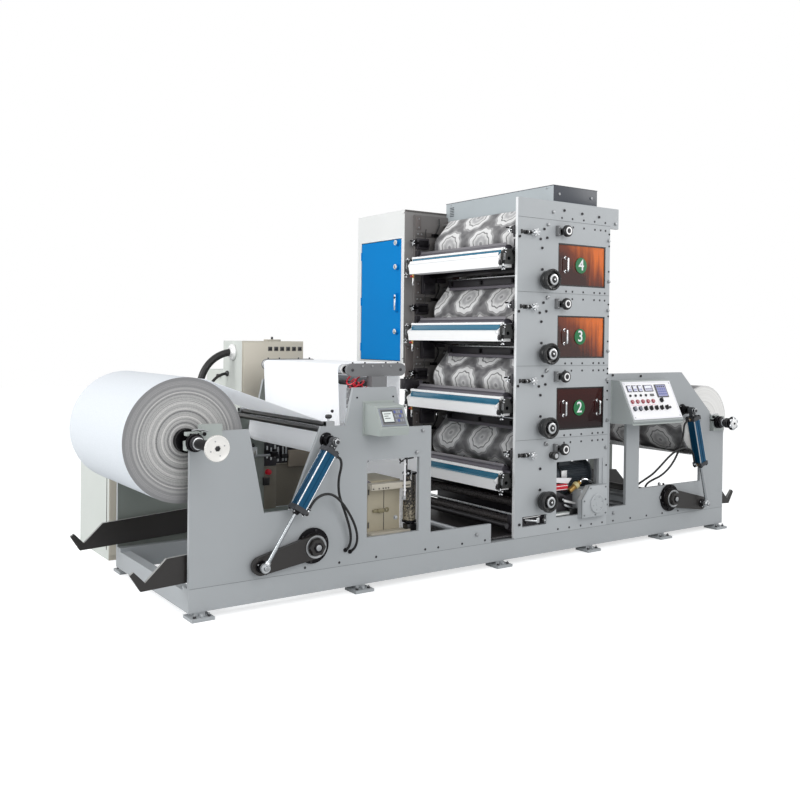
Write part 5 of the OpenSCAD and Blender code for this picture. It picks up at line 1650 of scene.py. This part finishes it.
def addPostWindow():
    parts = []
    # pale straps on the cabinet's doors, each with screws and a slot at its right end
    for z0, z1 in ((536, 572), (270, 294)):
        parts += made([
            ("strapEnamel", addBlock, (1100, 52, z0), (1372, 60, z1), 2),
            ("strapEnamel", addBlock, (1096, 60, z0 + 4), (1360, 132, z1 - 4), 1),
            ("blackPlastic", addBlock, (1312, 50.6, (z0 + z1) / 2 - 7), (1364, 52.6, (z0 + z1) / 2 - 1), 0.5)])
        parts += made([("stripEnamel", addBolt, x, 52, (z0 + z1) / 2 - 8, 4.5)
                       for x in (1112, 1150, 1178, 1196, 1214)])
    # latch across the doors' joint
    parts += made([
        ("latchTan", addBlock, (1158, 118, 396), (1236, 130, 414), 3),
        ("latchTan", addBlock, (1186, 110, 394), (1226, 120, 417), 4),
        ("blackPlastic", addTurned, [(0, 0), (9, 0), (9, 5), (6, 8), (0, 8)], (1236, 130, 405), 20),
        ("latchTan", addTurned, [(7, 0), (13, 0), (14, 2), (14, 5), (7, 6)], (1256, 130, 405), 24),
        # door joint, edge line and hinges
        ("stripEnamel", addBlock, (1233.4, 128, 270), (1236.6, 130.4, 536), 0),
        ("whitePlastic", addBlock, (1345, 126, 268), (1349, 136, 570), 0.5)])
    parts += made([("stripEnamel", addRod, (1128, 126, z), (1128, 126, z + 34), 4, 12, 1) for z in (310, 500)])
    # bright standing rod, black strut with its branch
    parts.append(coloured(addRod((1322, 46, 470), (1322, 46, 700), 6.5, 16), "whitePlastic"))
    parts += made([("whiteSteel", addTurned, [(6.4, 0), (10, 0), (10, 9), (6.4, 10)], (1322, 46, z), 20,
                    upward) for z in (520, 612, 670)])
    parts += made([
        ("blackPlastic", addRod, (1338, 56, 600), (1338, 56, 716), 9, 12),
        ("blackPlastic", addTube, [(1392, 60, 706), (1330, 56, 700), (1304, 54, 690), (1290, 54, 704)], 5, 8, 5),
        ("blackPlastic", addTube, [(1304, 54, 692), (1292, 54, 680)], 4.5, 8, 0),
        # mottled filter with a lighter foot, valve block above it, black box at the bottom
        ("filterMesh", addRod, (1392, 96, 336), (1392, 96, 606), 38, 40, 4),
        ("blackSteel", addTurned, [(0, 0), (41, 0), (43, 2), (43, 10), (41, 12), (0, 12)], (1392, 96, 606), 40,
         upward),
        ("blackSteel", addTurned, [(0, 0), (41, 0), (43, 2), (43, 12), (41, 14), (0, 14)], (1392, 96, 326), 40,
         upward),
        ("blackSteel", addBlock, (1352, 66, 600), (1380, 100, 634), 3),
        ("chromeSteel", addTurned, [(0, 0), (7, 0), (7, 8), (5, 10), (0, 10)], (1352, 60, 618), 16),
        ("chromeSteel", addTube, [(1376, 60, 636), (1378, 58, 616), (1372, 56, 596), (1374, 54, 578)], 4, 8, 5),
        ("blackPlastic", addBlock, (1356, 60, 262), (1440, 110, 320), 4),
        # grey valve plate at the upper left with small black fittings
        ("innerLilac", addPlateShape, [(1040, 716), (1130, 716), (1078, 668), (1078, 610), (1130, 574), (1040, 574)],
         100, 104, 1)])
    parts += made([("blackPlastic", addTurned, [(0, 0), (7, 0), (7, 8), (4, 12), (0, 12)], (x, 100, z), 14)
                   for x, z in ((1052, 690), (1062, 660), (1050, 628), (1056, 596), (1084, 590))])
    return joined(parts)


enamel("strapEnamel", "#bdb7aa", "#b3ad9f", 0.5)
enamel("latchTan", "#8a8265", "#7c7459", 0.4)
mottled("filterMesh", "#262320", "#a39a86")
finish(addPostWindow(), "postWindowFittings", None)
print("post window dressed")


def addRearTrim():
    parts = made([
        # lower cabinet: darker front doors, valve box and pale top edge
        ("doorTaupe", addBlock, (300, 1407, 40), (820, 1413.2, 822), 2),
        ("doorTaupe", addBlock, (826, 1407, 40), (1490, 1413.2, 520), 2),
        ("innerDark", addBlock, (826, 1409, 524), (1490, 1413.2, 822), 2),
        ("boxTaupe", addBlock, (1286, 1384, 498), (1492, 1410, 612), 3)])
    for x in (1170, 1206, 1244, 1268):
        parts += made([
            ("brightSteel", addRod, (x, 1396, 540), (x, 1396, 640), 7, 14),
            ("blackPlastic", addBlock, (x - 12, 1384, 560), (x + 12, 1410, 590), 3)])
    parts += made([
        ("strapEnamel", addBlock, (290, 1404, 826), (1500, 1413.2, 850), 2),
        ("cabinetEnamel", addBlock, (52, 1409, 30), (288, 1413.2, 840), 2),
        # cover on the far plate's inner face with a stop button, a latch and air valves
        ("doorTaupe", addBlock, (948, 1086.5, 284), (1034, 1090.5, 560), 1.5),
        ("innerDark", addBlock, (948, 1086, 562), (1034, 1090.5, 716), 1.5),
        ("redPlastic", addTurned, [(0, 0), (19, 0), (19, 5), (13, 6), (13, 14), (17, 16), (17, 24), (0, 28)],
         (973, 1087, 524), 28),
        ("blackPlastic", addBlock, (936, 1066, 440), (978, 1090, 490), 4)])
    for x, z in ((962, 664), (990, 652), (1018, 668)):
        parts += made([
            ("brightSteel", addRod, (x, 1076, z - 50), (x, 1076, z + 30), 6, 12),
            ("blackPlastic", addBlock, (x - 10, 1066, z - 22), (x + 10, 1087, z + 4), 3)])
    # upper cabinet: round flange for the conduit, vents, lamp and front door
    parts += made([
        ("whiteSteel", addTurned, [(25, 0), (52, 0), (56, 3), (56, 14), (50, 20), (36, 22), (34, 34), (25, 34)],
         (938, 1550, 1290), 48, toLeft),
        ("blackPlastic", addTurned, [(11, 0), (20, 0), (20, 10), (15, 14), (11, 14)], (938, 1640, 1140), 28, toLeft)])
    for i in range(6):
        x = 1130 + 46 * i
        parts += made([
            ("stripEnamel", addBlock, (x, 1408, 1300), (x + 32, 1413.2, 1330), 1),
            ("blackPlastic", addBlock, (x + 5, 1406, 1306), (x + 27, 1409, 1324), 1)])
    parts += made([
        ("strapEnamel", addBlock, (1140, 1450, 1368), (1250, 1500, 1380), 3),
        ("blackPlastic", addRod, (1190, 1470, 1378), (1190, 1470, 1398), 8, 20, 1),
        ("cabinetEnamel", addBlock, (950, 1409, 870), (1392, 1413.2, 1356), 3)])
    parts += made([("blackPlastic", addBlock, (1330, 1406, z), (1372, 1410, z + 26), 1) for z in (1000, 1060, 1120)])
    parts.append(coloured(addTurned([(0, 0), (10, 0), (10, 10), (13, 12), (13, 26), (10, 30), (0, 30)],
                                    (938, 1760, 1120), 20, toLeft), "blackPlastic"))
    return joined(parts)


def addFarCover():
    # terminal boxes on the far side's plates, which close the gap beside the tower
    parts = made([
        ("innerGrey", addBlock, (2064, 1094, 1112), (2134, 1108, 1344), 2),
        ("innerDark", addBlock, (2024, 1062, 1036), (2134, 1108, 1110), 3),
        ("innerDark", addBlock, (2086, 1094, 740), (2134, 1108, 1034), 2)])
    parts += made([("zincSteel", addBolt, x, 1094, z, 5)
                   for x, z in ((2080, 1326), (2118, 1326), (2080, 1130), (2118, 1130), (2100, 1016), (2100, 760))])
    parts += made([("blackPlastic", addRod, (2040 + 26 * i, 1070, 1110), (2040 + 26 * i, 1070, 1124), 8, 16, 1)
                   for i in range(3)])
    return joined(parts)


finish(addFarCover(), "terminalBoxes", None)


def addNotchValves():
    # air valves and pipes seen in the notch of the side plate, on a rail between the plates
    parts = [coloured(addRod((560, 1030, 640), (980, 1030, 640), 9, 16), "zincSteel")]
    for x, high in ((620, 60), (684, 44), (752, 74), (820, 52)):
        parts += made([
            ("brightSteel", addBlock, (x, 1008, 648), (x + 40, 1052, 648 + high), 4),
            ("blackPlastic", addTurned, [(0, 0), (11, 0), (12, 2), (12, 10), (8, 14), (8, 22), (0, 22)],
             (x + 20, 1030, 648 + high), 20, upward)])
    parts += made([
        ("hoseRubber", addTube, [(560, 1030, 640), (540, 1034, 620), (536, 1040, 560), (540, 1060, 520)], 7, 10, 5),
        ("blackSteel", addBlock, (960, 1010, 628), (1010, 1052, 660), 3)])
    return joined(parts)


enamel("boxTaupe", "#958b7e", "#8a8074", 0.5)
enamel("doorTaupe", "#7d776b", "#736d61", 0.5)
finish(addRearTrim(), "rearCabinetTrim", None)
finish(addNotchValves(), "notchValves", None)


def addHangingTrim():
    # the blue door's locks with their key faces, and its long handle
    parts = []
    x = 2033
    for z in (2085, 1912, 1446):
        parts += made([
            ("chromeSteel", addTurned, [(0, 0), (17, 0), (19, 2), (19, 6), (12, 8), (0, 8)], (x, 1190, z), 28,
             toLeft),
            ("darkSteel", addBlock, (x - 10, 1187, z - 10), (x - 7, 1193, z + 10), 0.8)])
    parts += made([
        ("chromeSteel", addBlock, (x - 8, 1182, 1600), (x - 5, 1198, 1712), 1.5),
        ("darkSteel", addTurned, [(0, 0), (9, 0), (9, 4), (6, 6), (0, 6)], (x - 7, 1190, 1690), 20, toLeft)])
    return joined(parts)


finish(addHangingTrim(), "doorFittings", None, "cabinet_door")
frameEdge = made([
    ("whiteEnamel", addBlock, (2048, 1136, 1226), (2053.4, 1142, 2121), 1),
    ("whiteEnamel", addBlock, (2048, 1675, 1226), (2053.4, 1681, 2121), 1),
    ("whiteEnamel", addBlock, (2048, 1142, 1226), (2053.4, 1675, 1231), 1),
    ("whiteEnamel", addBlock, (2048, 1142, 2116), (2053.4, 1675, 2121), 1)])
frameEdge += made([("ivoryEnamel", addBlock, (2046, 1112, z), (2053.4, 1130, z + 8), 1) for z in (1250, 2290)])
finish(joined(frameEdge), "doorFrame", None)
# dark rub strip along the cabinet's top edge towards the press
finish(coloured(addBlock((2060, 1108, 2306), (2436, 1112.4, 2318), 1), "stripEnamel"), "cabinetTopStrip", None)
print("cabinets dressed")


def addArmEdge(pivot, reach, flip):
    # a pale strip along the upper edges of the hooked plates, painted as their highlight
    turn = math.radians(2.2)
    corners = [(0, 75), (-reach + 110, 51), (-reach, -48), (-reach - 54, 13), (-reach - 74, 0)]
    parts = []
    for (ax, az), (bx, bz) in zip(corners, corners[1:]):
        ends = []
        for u, w in ((ax, az), (bx, bz)):
            x = u * math.cos(turn) - w * math.sin(turn)
            z = u * math.sin(turn) + w * math.cos(turn)
            ends.append((pivot[0] + (-x if flip else x), pivot[1] + z))
        (x0, z0), (x1, z1) = ends
        length = math.hypot(x1 - x0, z1 - z0)
        nx, nz = -(z1 - z0) / length, (x1 - x0) / length
        if nz < 0:
            nx, nz = -nx, -nz
        parts.append(coloured(addPlateShape([(x0 - nx, z0 - nz), (x1 - nx, z1 - nz), (x1 + nx * 0.6, z1 + nz * 0.6),
                                             (x0 + nx * 0.6, z0 + nz * 0.6)], 41, 59), "armEdgeHighlight"))
    return bothSides(joined(parts))


# painted highlight: the pale finish of the strips along the arms' upper edges
enamel("armEdgeHighlight", "#9b9c9a", "#7f807f", 0.4)
finish(addArmEdge((690, 290), 895.9, False), "unwindArmEdges", None, "unwind_arms")
finish(addArmEdge((3605, 280), 738.9, True), "rewindArmEdges", None, "rewind_arms")
print("lift arms' edges dressed")


# doors on the cabinets' backs: x from, x to, z from, z to, depth of the cabinet's back face
backDoors = [(70, 770, 60, 830, 2023), (780, 1480, 60, 830, 2023), (958, 1400, 870, 1145, 2000),
             (958, 1386, 1175, 1352, 1713)]


def addBackDoors():
    # folded doors with louvres, a swing handle and hinges, on the side away from the press
    parts = []
    for x0, x1, z0, z1, back in backDoors:
        parts.append(coloured(addBlock((x0, back - 1, z0), (x1, back + 2.4, z1), 1.6), "cabinetEnamel"))
        rows = 8 if z1 - z0 > 500 else 4
        width = (x1 - x0) * 0.42
        middle = (x0 + x1) / 2
        for row in range(rows):
            z = z1 - 46 - 17 * row
            parts += made([
                ("cabinetEnamel", addPlateShape, [(back + 2, z), (back + 6.5, z - 1), (back + 6.5, z - 3),
                 (back + 2, z - 8)], middle - width / 2, middle + width / 2, 0.4, "x"),
                ("blackPlastic", addBlock, (middle - width / 2 + 3, back + 1.8, z - 13),
                 (middle + width / 2 - 3, back + 3, z - 9), 0)])
        grip = z0 + (z1 - z0) * 0.42
        parts += made([
            ("blackPlastic", addBlock, (x1 - 46, back + 2, grip - 48), (x1 - 24, back + 5, grip + 48), 1),
            ("chromeSteel", addBlock, (x1 - 42, back + 4, grip - 40), (x1 - 28, back + 9, grip + 20), 2)])
        parts += made([("zincSteel", addRod, (x0 + 4, back + 3, z), (x0 + 4, back + 3, z + 34), 4, 12, 0.6)
                       for z in (z0 + 40, z1 - 70)])
    # plinth and side vents of the low cabinet towards the unwind end
    parts.append(coloured(addBlock((52, 1420, 2), (1498, 2024.6, 44), 1), "stripEnamel"))
    for row in range(6):
        z = 700 - 18 * row
        parts.append(coloured(addBlock((48, 1600, z), (50.6, 1840, z + 6), 0.5), "stripEnamel"))
    parts.append(coloured(addBlock((47, 1450, 60), (50.6, 1455, 836), 0.5), "stripEnamel"))
    return joined(parts)


finish(addBackDoors(), "backDoors", None)
print("backs of the cabinets dressed")

print("scene done")
